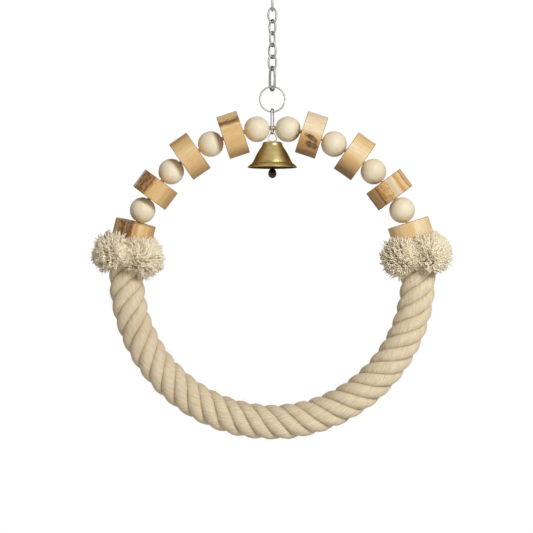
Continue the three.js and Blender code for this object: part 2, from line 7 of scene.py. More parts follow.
import bpy
import numpy as np
from mathutils import Matrix, Vector


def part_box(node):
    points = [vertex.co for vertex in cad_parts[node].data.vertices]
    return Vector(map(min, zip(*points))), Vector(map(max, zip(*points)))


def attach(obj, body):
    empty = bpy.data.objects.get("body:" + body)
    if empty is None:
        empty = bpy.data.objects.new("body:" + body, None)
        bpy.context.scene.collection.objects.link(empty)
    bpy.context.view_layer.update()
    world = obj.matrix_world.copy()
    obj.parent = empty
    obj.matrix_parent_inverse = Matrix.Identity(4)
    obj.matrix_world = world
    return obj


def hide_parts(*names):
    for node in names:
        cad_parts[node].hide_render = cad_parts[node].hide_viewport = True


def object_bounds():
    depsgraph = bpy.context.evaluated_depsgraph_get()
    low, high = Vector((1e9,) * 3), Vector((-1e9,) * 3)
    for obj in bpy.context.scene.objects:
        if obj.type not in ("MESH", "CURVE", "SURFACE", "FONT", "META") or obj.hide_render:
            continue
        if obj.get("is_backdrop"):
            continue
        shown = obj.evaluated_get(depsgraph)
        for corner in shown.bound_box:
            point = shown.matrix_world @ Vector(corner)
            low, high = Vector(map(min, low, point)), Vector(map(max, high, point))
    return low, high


bl_info = {
    "name": "Ring bird swing",
    "version": (1, 0, 0),
    "blender": (4, 5, 0),
    "location": "3D View > Sidebar > Ring swing",
    "description": "Builds the looks of a rope ring swing with wood beads, wood blocks, a bell and a chain",
    "category": "Object",
}

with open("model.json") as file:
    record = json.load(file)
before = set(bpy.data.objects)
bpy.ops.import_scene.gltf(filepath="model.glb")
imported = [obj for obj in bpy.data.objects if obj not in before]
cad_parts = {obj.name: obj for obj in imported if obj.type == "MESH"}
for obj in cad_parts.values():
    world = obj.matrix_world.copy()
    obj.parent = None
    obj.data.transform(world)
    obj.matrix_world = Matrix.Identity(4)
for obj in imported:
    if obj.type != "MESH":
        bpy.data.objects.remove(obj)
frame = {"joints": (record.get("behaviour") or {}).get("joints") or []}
CAD_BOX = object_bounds()
JOINTS = {joint["name"]: joint for joint in frame["joints"]}

MM = 0.001
SIDES = {"left": -1, "right": 1}
ROPE_STRANDS = 4

# Turns about the vertical, in degrees: the chain's links from the top down, then the links above and below it
CHAIN_TURNS = (4, 88, 20, -46, 58, -40, 28)
QUICK_LINK_TURN = 90
CONNECTING_TURN = -62
HANGER_TURN = 70

# Spread of the low peak that the hanger draws in the hoop's wire, in degrees
PEAK_SPREAD = 17.5

# Diameters of the cut blocks, in millimetres
BLOCK_DIAMETERS = {
    "left_1": 24.8, "left_2": 24.2, "left_3": 22.7, "left_4": 23.0,
    "right_1": 24.4, "right_2": 24.8, "right_3": 23.7, "right_4": 23.9,
}

# Wood layers of each block from its inner side (0) to its outer side (100): stops in percent, each with a tone
# The darker tones at each block's inner side are partly the wood's own colour and partly painted shade on its
# lower side
BLOCK_LAYERS = {
    "left_1": "0 tan 22 honey 62 honey 70 straw 73 amber 76 umber 81 umber 84 honey 100 straw",
    "left_2": "0 tan 30 honey 62 straw 88 honey 95 amber 100 tan",
    "left_3": "0 tan 30 honey 56 honey 62 amber 66 rust 72 tan 82 rust 88 tan 92.5 rust 94.5 pale 100 pale",
    "left_4": "0 tan 15 honey 34 straw 42 amber 47 honey 53 rust 60 umber 68 tan 75 umber 82 tan 90 honey "
              "100 tan",
    "right_1": "0 umber 12 tan 28 amber 47 honey 56 pale 100 pale",
    "right_2": "0 umber 18 tan 38 honey 50 straw 60 pale 74 straw 100 honey",
    "right_3": "0 bark 3.5 tan 19 tan 22 bark 25 amber 42 honey 50 straw 56 grey 62 grey 67 straw 74 amber "
               "86 straw 90 rust 93 honey 100 tan",
    "right_4": "0 honey 12 straw 40 straw 47 honey 55 straw 70 pale 100 straw",
}

# Dark blotches of a knot on a block's front: middle along its axis and outwards, half length and half width in
# millimetres, and tilt in degrees
BLOCK_KNOTS = {"right_1": ((0.6, -2.6, 4.8, 1.7, -20), (1.5, -6.2, 4.2, 1.9, -8))}

# Mottled bands of a block, from and to as shares of its layers, how strong their flecks get and their tone
BLOCK_MOTTLES = {
    "left_1": (0.74, 0.86, 0.75, "bark"), "left_3": (0.64, 0.97, 0.85, "bark"),
    "left_4": (0.5, 0.88, 0.95, "bark"), "right_3": (0.22, 0.52, 0.55, "rust"),
}


def size(name, description, millimetres):
    return bpy.props.FloatProperty(
        name=name, description=description, default=millimetres * MM, min=0.0, subtype="DISTANCE", unit="LENGTH"
    )


def colour(name, description, default):
    return bpy.props.FloatVectorProperty(
        name=name, description=description, default=default, min=0.0, max=1.0, size=3, subtype="COLOR"
    )


def count(name, description, default):
    return bpy.props.IntProperty(name=name, description=description, default=default, min=1)


class RingSwingSizes(bpy.types.PropertyGroup):
    """Sizes of the swing's pieces."""

    hoop_radius: size("Hoop radius", "Centre of the hoop to the centre of its wire", 82.2)
    hoop_peak: size("Hoop peak", "How far the hanger draws the hoop's wire up out of its circle", 1.5)
    hoop_wire: size("Hoop wire", "Diameter of the hoop's wire", 2.5)
    ferrule_length: size("Ferrule length", "Length of the sleeve that closes the hoop's wire", 10)
    bead_diameter: size("Bead diameter", "Diameter of a turned bead", 14.5)
    block_length: size("Block length", "Thickness of a cut block along the wire", 11.9)
    bead_bore: size("Bead bore", "Hole through a bead", 3.9)
    block_bore: size("Block bore", "Hole through a block", 4.4)
    rope_diameter: size("Rope diameter", "Diameter over the rope's strands", 19.7)
    rope_lay: size("Rope lay", "Length in which a strand goes once round the rope", 37)
    rope_strand_depth: size("Strand depth", "Half the depth of a strand, from the rope's middle outwards", 3.2)
    tuft_ring: size("Tuft ring", "Middle of the rope to the middle of a tuft of frayed yarn", 9.4)
    collar_length: size("Collar length", "Length of a frayed collar along the wire", 23.6)
    collar_sink: size("Block sink", "How far the last block sinks into the frayed yarn", 4.0)
    tuft_radius: size("Tuft radius", "Radius of one tuft of frayed yarn", 12.2)
    yarn_radius: size("Yarn radius", "Radius of one frayed yarn", 0.37)
    fine_end_radius: size("Fine end radius", "Radius of a fine end that stands out of the yarn", 0.16)
    yarn_count: count("Yarn count", "Frayed yarns in one collar", 3800)
    fine_end_count: count("Fine end count", "Fine ends that stand out of one collar's yarn", 2400)
    hair_count: count("Hair count", "Stray fibres on each strand of the rope", 420)
    chain_length: size("Chain link length", "Length over one chain link", 9.3)
    chain_width: size("Chain link width", "Width over the middle of one chain link", 6.0)
    chain_wire: size("Chain wire", "Diameter of the chain's wire", 1.15)
    connecting_length: size("Connecting link length", "Length over the connecting link", 14.6)
    connecting_width: size("Connecting link width", "Width over the connecting link", 7.4)
    connecting_wire: size("Connecting wire", "Diameter of the connecting link's wire", 1.45)
    hanger_width: size("Hanger width", "Width over the hanger link", 4.9)
    hanger_wire: size("Hanger wire", "Diameter of the hanger link's wire", 0.8)
    ring_diameter: size("Split ring diameter", "Diameter over the split ring", 15.1)
    ring_wire_height: size("Split ring wire height", "Wire of the split ring, along its radius", 0.9)
    ring_wire_width: size("Split ring wire width", "Wire of the split ring, along its axis", 0.65)
    ring_coil_gap: size("Split ring gap", "Space between the two coils", 0.45)
    quick_link_rod: size("Quick link rod", "Diameter of the quick link's rod", 2.4)
    quick_link_opening: size("Quick link opening", "Opening in the quick link's leg", 5.5)
    sleeve_flats: size("Sleeve across flats", "Width over the flats of the threaded sleeve", 4.8)
    bell_height: size("Bell height", "Crown to rim", 14.6)
    bell_rim: size("Bell rim", "Diameter over the rim", 27.8)
    bell_skirt: size("Bell skirt", "Diameter over the lip's start", 21.8)
    bell_crown: size("Bell crown", "Diameter over the crown", 11.2)
    bell_waist: size("Bell waist", "Diameter where the crown's side turns into the flank", 11.9)
    bell_wall: size("Bell wall", "Thickness of the bell", 0.9)
    bell_loop_width: size("Bell loop width", "Width over the bell's loop", 5.4)
    bell_loop_height: size("Bell loop height", "Height of the bell's loop above the crown", 5.7)
    bell_loop_wire: size("Bell loop wire", "Diameter of the wire of the bell's loop", 0.6)
    clapper_bob: size("Clapper bob", "Diameter of the clapper's bob", 4.4)


class RingSwingColours(bpy.types.PropertyGroup):
    """Colours of the swing's finishes."""

    bright_steel: colour("Bright steel", "Steel of the bell's loop", (0.8, 0.78, 0.73))
    steel: colour("Steel", "Bright plated steel", (0.44, 0.44, 0.41))
    steel_dull: colour("Dull steel", "Plating that has dulled", (0.34, 0.34, 0.31))
    # Painted shade where metal touches metal: the chain's link ends and the hoop's wire round the hanger
    grime: colour("Contact shade", "Dark grime where metal rubs on metal", (0.13, 0.125, 0.11))
    wire: colour("Hoop wire", "Browned steel of the hoop's wire", (0.72, 0.58, 0.38))
    brass: colour("Brass", "Bright brass", (0.52, 0.41, 0.175))
    brass_dull: colour("Dull brass", "Brass that has browned", (0.2, 0.135, 0.05))
    iron: colour("Clapper", "Dark bronzed iron", (0.07, 0.045, 0.025))
    bead: colour("Bead", "Pale turned wood", (0.865, 0.8, 0.62))
    bead_grain: colour("Bead grain", "Grain of the pale wood", (0.79, 0.68, 0.485))
    straw: colour("Straw", "Lightest honey wood", (0.825, 0.63, 0.345))
    pale: colour("Pale", "Pale sapwood", (0.86, 0.73, 0.52))
    honey: colour("Honey", "Honey wood", (0.75, 0.525, 0.25))
    tan: colour("Tan", "Browner honey wood", (0.52, 0.32, 0.14))
    amber: colour("Amber", "Orange wood", (0.58, 0.31, 0.1))
    rust: colour("Rust", "Red-brown wood", (0.33, 0.14, 0.04))
    umber: colour("Umber", "Grey-brown wood", (0.23, 0.135, 0.055))
    bark: colour("Bark", "Dark brown wood", (0.1, 0.045, 0.016))
    grey: colour("Grey", "Weathered grey wood", (0.64, 0.54, 0.4))
    cotton: colour("Cotton", "Rope cotton", (0.84, 0.735, 0.535))
    # Painted shade in the rope's grooves, besides the tone of darker fibres and soiled patches
    cotton_shade: colour("Cotton shade", "Cotton in the rope's grooves", (0.54, 0.4, 0.225))
    fray: colour("Frayed cotton", "Tips of the frayed yarn", (0.945, 0.865, 0.69))
    # Painted shade at the roots of the frayed yarn, deep in the tufts; also a tone of the core under them
    fray_shade: colour("Frayed shade", "Roots of the frayed yarn", (1.0, 0.87, 0.61))
    floor: colour("Floor", "Pale floor", (0.9, 0.9, 0.9))


class RingSwingSettings(bpy.types.PropertyGroup):
    """Everything about the swing that a user may change."""

    sizes: bpy.props.PointerProperty(type=RingSwingSizes)
    colours: bpy.props.PointerProperty(type=RingSwingColours)


def settings():
    return bpy.context.scene.ring_swing


def shade(tone):
    """A colour of the swing by its name, with full alpha. Anything but a name comes back as it is."""
    return (*getattr(settings().colours, tone), 1.0) if isinstance(tone, str) else tone


# Node trees


def arithmetic(operation, swapped=False):
    """A method that joins an output and another value in a math node."""

    def join(self, other):
        return self.nodes.math(operation, *((other, self) if swapped else (self, other)))

    return join


class Output:
    """An output of a node. Arithmetic with it adds math nodes to its tree."""

    def __init__(self, nodes, socket):
        self.nodes = nodes
        self.socket = socket

    __add__, __radd__ = arithmetic("ADD"), arithmetic("ADD", swapped=True)
    __sub__, __rsub__ = arithmetic("SUBTRACT"), arithmetic("SUBTRACT", swapped=True)
    __mul__, __rmul__ = arithmetic("MULTIPLY"), arithmetic("MULTIPLY", swapped=True)
    __truediv__, __rtruediv__ = arithmetic("DIVIDE"), arithmetic("DIVIDE", swapped=True)


def is_vector(value):
    return isinstance(value, tuple) or isinstance(value, Output) and value.socket.type in {"VECTOR", "RGBA"}


class Nodes:
    """A node tree in the making: adds nodes, sets or links their inputs and hands back their outputs."""

    def __init__(self, tree):
        self.tree = tree

    def put(self, socket, value):
        if isinstance(value, Output):
            self.tree.links.new(value.socket, socket)
        else:
            socket.default_value = value

    def node(self, kind, inputs=None, **choices):
        node = self.tree.nodes.new(kind)
        for name, value in choices.items():
            setattr(node, name, value)
        for key, value in (inputs or {}).items():
            self.put(node.inputs[key], value)
        return node

    def add(self, kind, inputs=None, output=0, **choices):
        """One output of a new node."""
        return Output(self, self.node(kind, inputs, **choices).outputs[output])

    def outputs(self, kind, inputs=None, **choices):
        """All outputs of a new node by name."""
        return {socket.name: Output(self, socket) for socket in self.node(kind, inputs, **choices).outputs}

    def math(self, operation, *values):
        """A math node on numbers or on vectors. In a product of both, the vector comes first."""
        vectors = [is_vector(value) for value in values]
        inputs = dict(enumerate(values))
        if operation == "MULTIPLY" and any(vectors) and not all(vectors):
            operation, inputs = "SCALE", {0: values[0], "Scale": values[1]}
        kind = "ShaderNodeVectorMath" if any(vectors) else "ShaderNodeMath"
        return self.add(kind, inputs, operation=operation)

    sin, cos = partialmethod(math, "SINE"), partialmethod(math, "COSINE")
    abs, sqrt = partialmethod(math, "ABSOLUTE"), partialmethod(math, "SQRT")
    max, min = partialmethod(math, "MAXIMUM"), partialmethod(math, "MINIMUM")
    cross, unit = partialmethod(math, "CROSS_PRODUCT"), partialmethod(math, "NORMALIZE")
    atan2 = partialmethod(math, "ARCTAN2")
    place = partialmethod(add, "ShaderNodeTexCoord", output="Object")
    position = partialmethod(add, "GeometryNodeInputPosition")

    def hypotenuse(self, first, second):
        return self.sqrt(first * first + second * second)

    def signed_power(self, value, power):
        return self.math("POWER", self.abs(value), power) * self.math("SIGN", value)

    def xyz(self, *values):
        return self.add("ShaderNodeCombineXYZ", dict(enumerate(values)))

    def split(self, vector):
        return self.outputs("ShaderNodeSeparateXYZ", {0: vector}).values()

    def fade(self, *values):
        """A smooth step of a value: where it starts and ends, and what it goes from and to, if not 0 and 1."""
        return self.add("ShaderNodeMapRange", dict(enumerate(values)), interpolation_type="SMOOTHSTEP")

    def noise(self, vector, scale, detail=3.0, roughness=0.55, output=0):
        inputs = {"Vector": vector, "Scale": scale, "Detail": detail, "Roughness": roughness}
        return self.add("ShaderNodeTexNoise", inputs, output)

    def sway(self, vector, scale):
        """A smooth vector of noise round zero."""
        return self.noise(vector, scale, 1.0, 0.5, "Color") - (0.5, 0.5, 0.5)

    def tint(self, share, first, second, blend="MIX"):
        """The first colour at a share of 0, and its blend with the second at 1."""
        inputs = {0: share, 6: shade(first), 7: shade(second)}
        return self.add("ShaderNodeMix", inputs, 2, data_type="RGBA", blend_type=blend)

    def group(self, tree, inputs):
        return self.outputs("ShaderNodeGroup", inputs, node_tree=tree)

    def bump(self, height, distance, strength):
        return self.add("ShaderNodeBump", {"Height": height, "Distance": distance, "Strength": strength})

    def attribute(self, name, output="Fac"):
        return self.add("ShaderNodeAttribute", output=output, attribute_name=name)

    def moved(self, geometry, position):
        return self.add("GeometryNodeSetPosition", {"Geometry": geometry, "Position": position})

    def stored(self, geometry, name, value, kind="FLOAT"):
        inputs = {"Geometry": geometry, "Name": name, "Value": value}
        return self.add("GeometryNodeStoreNamedAttribute", inputs, data_type=kind)

    def read(self, name, kind="FLOAT"):
        return self.add("GeometryNodeInputNamedAttribute", {"Name": name}, data_type=kind)

    def draw(self, low, high, seed):
        return self.add("FunctionNodeRandomValue", {2: low, 3: high, "Seed": seed}, 1, data_type="FLOAT")

    def circle(self, points, radius):
        inputs = {"Resolution": points, "Radius": radius}
        return self.add("GeometryNodeCurvePrimitiveCircle", inputs, mode="RADIUS")

    def cylinder(self, sides, segments, radius=1.0, depth=1.0, fill="NGON"):
        inputs = {"Vertices": sides, "Side Segments": segments, "Radius": radius, "Depth": depth}
        return self.add("GeometryNodeMeshCylinder", inputs, fill_type=fill)


FLOAT = "NodeSocketFloat"
INTEGER = "NodeSocketInt"
VECTOR = "NodeSocketVector"


def new_group(name, kind, inputs, outputs):
    """An empty node group: its nodes, its inputs by name, and a function that links its outputs and returns it.

    Inputs and outputs are names by socket type, with a comma between two names.
    """
    tree = bpy.data.node_groups.new(name, kind)
    for in_out, sockets in (("INPUT", inputs), ("OUTPUT", outputs)):
        for socket_type, names in sockets.items():
            for socket_name in names.split(", "):
                tree.interface.new_socket(socket_name, in_out=in_out, socket_type=socket_type)
    nodes = Nodes(tree)
    given = nodes.outputs("NodeGroupInput")
    end = nodes.node("NodeGroupOutput")

    def close(**values):
        for socket_name, value in values.items():
            nodes.put(end.inputs[socket_name], value)
        return tree

    return nodes, given, close


def new_effect(name, numbers, results):
    """An empty shader group with a place and these numbers as inputs."""
    return new_group(name, "ShaderNodeTree", {VECTOR: "Place", FLOAT: numbers}, {FLOAT: results})


def new_grower(name, inputs):
    """An empty geometry tree, with a function that finishes its geometry and returns the tree."""
    inputs = {**inputs, "NodeSocketMaterial": "Finish"}
    nodes, given, close = new_group(name, "GeometryNodeTree", inputs, {"NodeSocketGeometry": "Mesh"})

    def finish(geometry):
        realized = nodes.add("GeometryNodeRealizeInstances", {0: geometry})
        smooth = nodes.add("GeometryNodeSetShadeSmooth", {"Geometry": realized})
        coated = nodes.add("GeometryNodeSetMaterial", {"Geometry": smooth, "Material": given["Finish"]})
        return close(Mesh=coated)

    return nodes, given, finish


# Shared shader effects


@cache
def metal_wear():
    """Dulled patches and fine scratches on metal."""
    nodes, given, close = new_effect("Metal wear", "Patch Scale", "Dull, Height")
    patches = nodes.noise(given["Place"], given["Patch Scale"], 4.0, 0.6)
    scratches = nodes.noise(given["Place"] * (1.0, 1.0, 0.12), 5200.0, 2.0)
    return close(Dull=nodes.fade(patches, 0.45, 0.72), Height=patches * 0.6 + scratches * 0.4)


@cache
def wood_grain():
    """Streaks, pores and a fine relief that run along X of a place in millimetres."""
    nodes, given, close = new_effect("Wood grain", "Streak Scale, Pore Scale", "Streak, Pore, Height")
    streak = nodes.noise(given["Place"] * (0.07, 1.0, 1.0), given["Streak Scale"], 5.0, 0.62)
    fine = nodes.noise(given["Place"] * (0.12, 1.0, 1.0), given["Pore Scale"], 2.0)
    pore = nodes.fade(fine, 0.56, 0.7)
    return close(Streak=nodes.fade(streak, 0.3, 0.7), Pore=pore, Height=streak * 0.7 - pore * 0.5)


@cache
def cotton_fibre():
    """Tone and relief of cotton yarn whose fibres run along Y of a place in millimetres."""
    nodes, given, close = new_effect("Cotton fibre", "Fibre Width", "Tone, Height")
    across = 1.0 / given["Fibre Width"]
    yarn = nodes.noise(given["Place"] * (1.0, 0.07, 1.0), across, 2.0, 0.5)
    fine = nodes.noise(given["Place"] * (1.0, 0.05, 1.0), across * 4.0, 3.0, 0.6)
    return close(Tone=yarn * 0.6 + fine * 0.4, Height=yarn * 0.7 + fine * 0.3)


# Finishes

# Steels by kind: name, scale of the dulled patches, and the tones where it is bright and where it is dull
STEELS = {
    "chain": ("Plated chain steel", 420.0, "steel", "steel_dull"),
    "loop": ("Bright loop steel", 420.0, "bright_steel", "steel"),
    "hoop": ("Hoop wire steel", 260.0, "wire", "umber"),
    "clapper": ("Bronzed clapper", 700.0, "iron", "bark"),
}

# How far fibres lean round the rope for each length along it
FIBRE_LEAN = 0.16


def new_finish(name, **values):
    """A material with these values on its shader: its nodes, and a function that links more and returns it."""
    material = bpy.data.materials.new(name)
    material.use_nodes = True
    nodes = Nodes(material.node_tree)
    shader = material.node_tree.nodes["Principled BSDF"]

    def coat(**sockets):
        for socket, value in sockets.items():
            nodes.put(shader.inputs[socket.replace("_", " ")], value)
        return material

    coat(**values)
    return nodes, coat


@cache
def steel(kind):
    """Steel with dulled patches, and painted shade where an attribute marks metal touching metal."""
    name, patch_scale, bright, dull = STEELS[kind]
    nodes, coat = new_finish(name, Metallic=1.0)
    wear = nodes.group(metal_wear(), {"Place": nodes.place(), "Patch Scale": patch_scale})
    worn = nodes.tint(wear["Dull"] * 0.6, bright, dull)
    return coat(
        # Painted shade where links and wires touch
        Base_Color=nodes.tint(nodes.attribute("grime"), worn, "grime"),
        Roughness=nodes.fade(wear["Dull"], 0.0, 1.0, 0.5, 0.62),
        Normal=nodes.bump(wear["Height"], 0.03 * MM, 0.25),
    )


@cache
def bell_brass():
    """Brass with rings from spinning, and painted shade inside the bell where the inside attribute says so."""
    nodes, coat = new_finish("Spun brass", Metallic=1.0, Specular_Tint=(0.18, 0.115, 0.045, 1.0))
    place = nodes.place()
    x, y, z = nodes.split(place)
    wear = nodes.group(metal_wear(), {"Place": place, "Patch Scale": 210.0})
    rings = nodes.noise(nodes.xyz(nodes.hypotenuse(x, y), 0.0, z), 2600.0, 2.0)
    browned = wear["Dull"] * 0.25 + nodes.fade(rings, 0.45, 0.75) * 0.25
    spun = nodes.tint(browned, "brass", "brass_dull")
    return coat(
        # Painted shade: the bell's inside turns bark brown
        Base_Color=nodes.tint(nodes.attribute("inside"), spun, "bark"),
        Roughness=nodes.fade(browned, 0.0, 0.6, 0.4, 0.5),
        Normal=nodes.bump(rings * 0.7 + wear["Height"] * 0.3, 0.02 * MM, 0.3),
    )


def grain_and_place(nodes, streak_scale, pore_scale):
    """The wood grain of a piece and the attribute that holds the place of its grain, in millimetres."""
    place = nodes.attribute("grain_place", "Vector")
    inputs = {"Place": place, "Streak Scale": streak_scale, "Pore Scale": pore_scale}
    return nodes.group(wood_grain(), inputs), place


@cache
def bead_wood():
    """Pale wood whose tone attribute sets the beads apart."""
    nodes, coat = new_finish("Turned pale wood", Specular_IOR_Level=0.35)
    grain, _ = grain_and_place(nodes, 0.55, 3.4)
    share = grain["Streak"] * 0.42 + grain["Pore"] * 0.16 + nodes.attribute("tone") * 0.25
    return coat(
        Base_Color=nodes.tint(share, "bead", "bead_grain"),
        Roughness=nodes.fade(grain["Streak"], 0.0, 1.0, 0.42, 0.55),
        Normal=nodes.bump(grain["Height"], 0.08 * MM, 0.45),
    )


def layer_ramp(nodes, share, layers):
    """A colour ramp over a block's layers of wood."""
    ramp = nodes.node("ShaderNodeValToRGB", {0: share})
    stops = ramp.color_ramp.elements
    words = layers.split()
    for index, (percent, tone) in enumerate(zip(words[::2], words[1::2])):
        position = float(percent) / 100
        stop = stops[index] if index < 2 else stops.new(position)
        stop.position = position
        stop.color = shade(tone)
    return Output(nodes, ramp.outputs[0])


def knot_mask(nodes, place, blotches):
    """Dark ragged blotches on the front of a block."""
    x, y, z = nodes.split(place)
    ragged = nodes.noise(place * (0.7, 0.9, 0.9), 0.8, 4.0) - 0.5
    mask = 0.0
    for middle_x, middle_z, half_length, half_width, tilt in blotches:
        dx, dz = x - middle_x, z - middle_z
        lean, rise = math.cos(math.radians(tilt)), math.sin(math.radians(tilt))
        along = (dx * lean + dz * rise) / half_length
        across = (dz * lean - dx * rise) / half_width
        worn = nodes.hypotenuse(along, across) + ragged * 1.2
        mask = nodes.max(mask, nodes.fade(worn, 0.35, 1.35, 1.0, 0.0))
    return mask * nodes.fade(y, 2.0, -2.0)


def mottled(nodes, place, share, tone_so_far, band):
    """Dark flecks in one band of a block's layers."""
    low, high, depth, tone = band
    flecks = nodes.fade(nodes.noise(place * (0.5, 1.0, 1.0), 1.0, 5.0, 0.66), 0.45, 0.6)
    inside = nodes.fade(share, low - 0.03, low + 0.04) * nodes.fade(share, high - 0.04, high + 0.03, 1.0, 0.0)
    return nodes.tint(flecks * inside * depth, tone_so_far, tone)


def block_wood(label, radius):
    """Layered wood for one block, whose grain place runs along its axis on X and out of the hoop on Z."""
    nodes, coat = new_finish("Cut wood " + label.replace("_", " "))
    grain, place = grain_and_place(nodes, 0.9, 4.2)
    x, y, z = nodes.split(place)
    rim, end = radius / MM, settings().sizes.block_length / 2 / MM
    sway = nodes.noise(place * (0.35, 0.5, 0.5), 0.42) - 0.5
    ragged = nodes.noise(place * (0.5, 1.0, 1.0), 1.5, 4.0, 0.7) - 0.5
    share = z / (2.0 * rim) + 0.5 + (sway * 0.1 + ragged * 0.08)
    # The layers darken towards the inner side, partly as painted shade
    layers = layer_ramp(nodes, share, BLOCK_LAYERS[label])
    if label in BLOCK_MOTTLES:
        layers = mottled(nodes, place, share, layers, BLOCK_MOTTLES[label])
    streaked = nodes.tint(grain["Streak"] * 0.4, layers, "straw", "MULTIPLY")
    pored = nodes.tint(grain["Pore"] * 0.35, streaked, "tan", "MULTIPLY")
    # Darker along the rims of both ends of the block
    dark_end_rim = nodes.fade(nodes.abs(x), end - 0.55, end - 0.1)
    on_side = nodes.fade(nodes.hypotenuse(y, z), rim - 0.9, rim - 0.3)
    tone = nodes.tint(dark_end_rim * on_side * 0.75, pored, "umber")
    if label in BLOCK_KNOTS:
        knot = knot_mask(nodes, place, BLOCK_KNOTS[label])
        ringed = nodes.tint(nodes.fade(knot, 0.1, 0.5, 0.0, 0.7), tone, "tan")
        streaky = nodes.fade(nodes.noise(place * (0.4, 1.5, 1.5), 1.1), 0.42, 0.62, 1.0, 0.6)
        tone = nodes.tint(nodes.fade(knot, 0.25, 0.75) * streaky, ringed, "bark")
    return coat(
        Base_Color=tone,
        Roughness=nodes.fade(grain["Streak"], 0.0, 1.0, 0.52, 0.68),
        Normal=nodes.bump(grain["Height"], 0.2 * MM, 0.55),
    )


@cache
def rope_cotton():
    """Laid cotton: the fibre attribute holds place round the rope, along it and round the strand."""
    nodes, coat = new_finish("Laid cotton", Roughness=0.92, Sheen_Weight=0.2, Sheen_Roughness=0.5)
    around, along, strand = nodes.split(nodes.attribute("fibre", "Vector"))
    leaning = nodes.xyz(around + along * FIBRE_LEAN, along, 0.0)
    fibre = nodes.group(cotton_fibre(), {"Place": leaning, "Fibre Width": 0.6})
    # Painted shade: the cotton darkens towards the grooves between the strands
    groove = nodes.fade(nodes.cos(strand), 0.1, 0.75, 1.0, 0.0)
    soiled = nodes.fade(nodes.noise(nodes.place(), 38.0), 0.5, 0.75)
    lit = nodes.fade(fibre["Tone"], 0.36, 0.6)
    tone = nodes.tint((1.0 - lit) * 0.55, "cotton", "cotton_shade")
    tone = nodes.tint(soiled * 0.32, tone, "cotton_shade")
    return coat(
        Base_Color=nodes.tint(groove * 0.65, tone, "cotton_shade"),
        Normal=nodes.bump(fibre["Height"], 0.8 * MM, 0.8),
    )


@cache
def frayed_cotton():
    """Yarn ends: the yarn attribute holds place round the yarn, along it and its own tone."""
    nodes, coat = new_finish(
        "Frayed cotton", Roughness=1.0, Specular_IOR_Level=0.1, Sheen_Weight=0.15, Sheen_Roughness=0.6,
        Sheen_Tint=(1.0, 0.86, 0.62, 1.0),
    )
    around, along, own = nodes.split(nodes.attribute("yarn", "Vector"))
    twisted = nodes.xyz(around * 1.2 + along * 9.0, along * 14.0, own)
    fibre = nodes.group(cotton_fibre(), {"Place": twisted, "Fibre Width": 0.7})
    # Painted shade: the yarn turns to the warmer root colour towards its roots, deep in the tuft
    root = nodes.fade(along, 0.35, 0.92, 1.0, 0.0)
    dark = root * 0.7 + own * 0.2 + (0.5 - fibre["Tone"]) * 0.4
    return coat(
        Base_Color=nodes.tint(nodes.fade(dark, 0.0, 1.0), "fray", "fray_shade"),
        Normal=nodes.bump(fibre["Height"], 0.5 * MM, 0.35),
    )


@cache
def fray_core():
    nodes, coat = new_finish("Fray roots", Roughness=1.0)
    tone = nodes.noise(nodes.place(), 900.0, 4.0)
    return coat(Base_Color=nodes.tint(tone, "fray_shade", "fray"), Normal=nodes.bump(tone, 0.8 * MM, 1.0))


@cache
def stray_fibre():
    nodes, coat = new_finish("Stray fibre", Roughness=0.9, Sheen_Weight=0.3)
    return coat(Base_Color=nodes.tint(nodes.noise(nodes.place(), 700.0, 2.0), "cotton", "fray"))


# Meshes made in code


def loft(rings, closed=False, capped=True):
    """Corners and faces of a skin over rings of equal point counts, closed on itself or capped at its ends."""
    rings = np.asarray(rings, float)
    steps, sides = rings.shape[:2]
    faces = []
    for step in range(steps if closed else steps - 1):
        low, high = step * sides, ((step + 1) % steps) * sides
        for side in range(sides):
            turn = (side + 1) % sides
            faces.append((low + side, low + turn, high + turn, high + side))
    if capped and not closed:
        faces.append(tuple(reversed(range(sides))))
        faces.append(tuple(range((steps - 1) * sides, steps * sides)))
    return rings.reshape(-1, 3), faces


def lathe(outline_at, segments):
    """A closed anticlockwise outline of radius and height, or a function that gives it by angle, turned."""
    outline = outline_at if callable(outline_at) else lambda angle: outline_at
    turns = [math.tau * step / segments for step in range(segments)]
    return loft([[(r * math.cos(a), r * math.sin(a), z) for r, z in outline(a)] for a in turns], closed=True)


def tube(bore, end, outer, half, straight):
    """The outline of a tube: its bore, its radius at the ends and between them, and half of both lengths."""
    return [(bore, -half), (end, -half), (outer, -straight), (outer, straight), (end, half), (bore, half)]


def row(start, end, count):
    """Points in a straight row, both ends included."""
    return list(zip(*(np.linspace(*pair, count) for pair in zip(start, end))))


def arc(centre, radius, start, end, steps):
    """Points on an arc, angles in degrees, both ends included."""
    angles = np.radians(np.linspace(start, end, steps + 1))
    return [(centre[0] + radius * math.cos(a), centre[1] + radius * math.sin(a)) for a in angles]


def wire_rings(route, radius, sides, closed=False):
    """Round rings along a flat route, which is stood up in the XZ plane."""
    route = np.array([(x, 0.0, z) for x, z in route])
    if closed:
        along = np.roll(route, -1, axis=0) - np.roll(route, 1, axis=0)
    else:
        along = np.gradient(route, axis=0)
    along /= np.linalg.norm(along, axis=1)[:, None]
    beside = np.stack([-along[:, 2], along[:, 1], along[:, 0]], axis=1)
    turns = math.tau * np.arange(sides) / sides
    across = np.array([0.0, 1.0, 0.0])
    return [
        [centre + radius * (math.cos(t) * side + math.sin(t) * across) for t in turns]
        for centre, side in zip(route, beside)
    ]


def smooth_route(points, steps, closed=False):
    """A Catmull-Rom spline through points, with as many samples in each span."""
    points = [np.asarray(point, float) for point in points]
    total = len(points)
    route = []
    for span in range(total if closed else total - 1):
        before, start, end, after = (
            points[(span + shift) % total if closed else min(max(span + shift, 0), total - 1)]
            for shift in (-1, 0, 1, 2)
        )
        for t in (step / steps for step in range(steps)):
            route.append(0.5 * (
                2 * start + (end - before) * t + (2 * before - 5 * start + 4 * end - after) * t * t
                + (3 * start - before - 3 * end + after) * t ** 3
            ))
    return route if closed else route + points[-1:]


def linked(thing):
    bpy.context.scene.collection.objects.link(thing)
    return thing


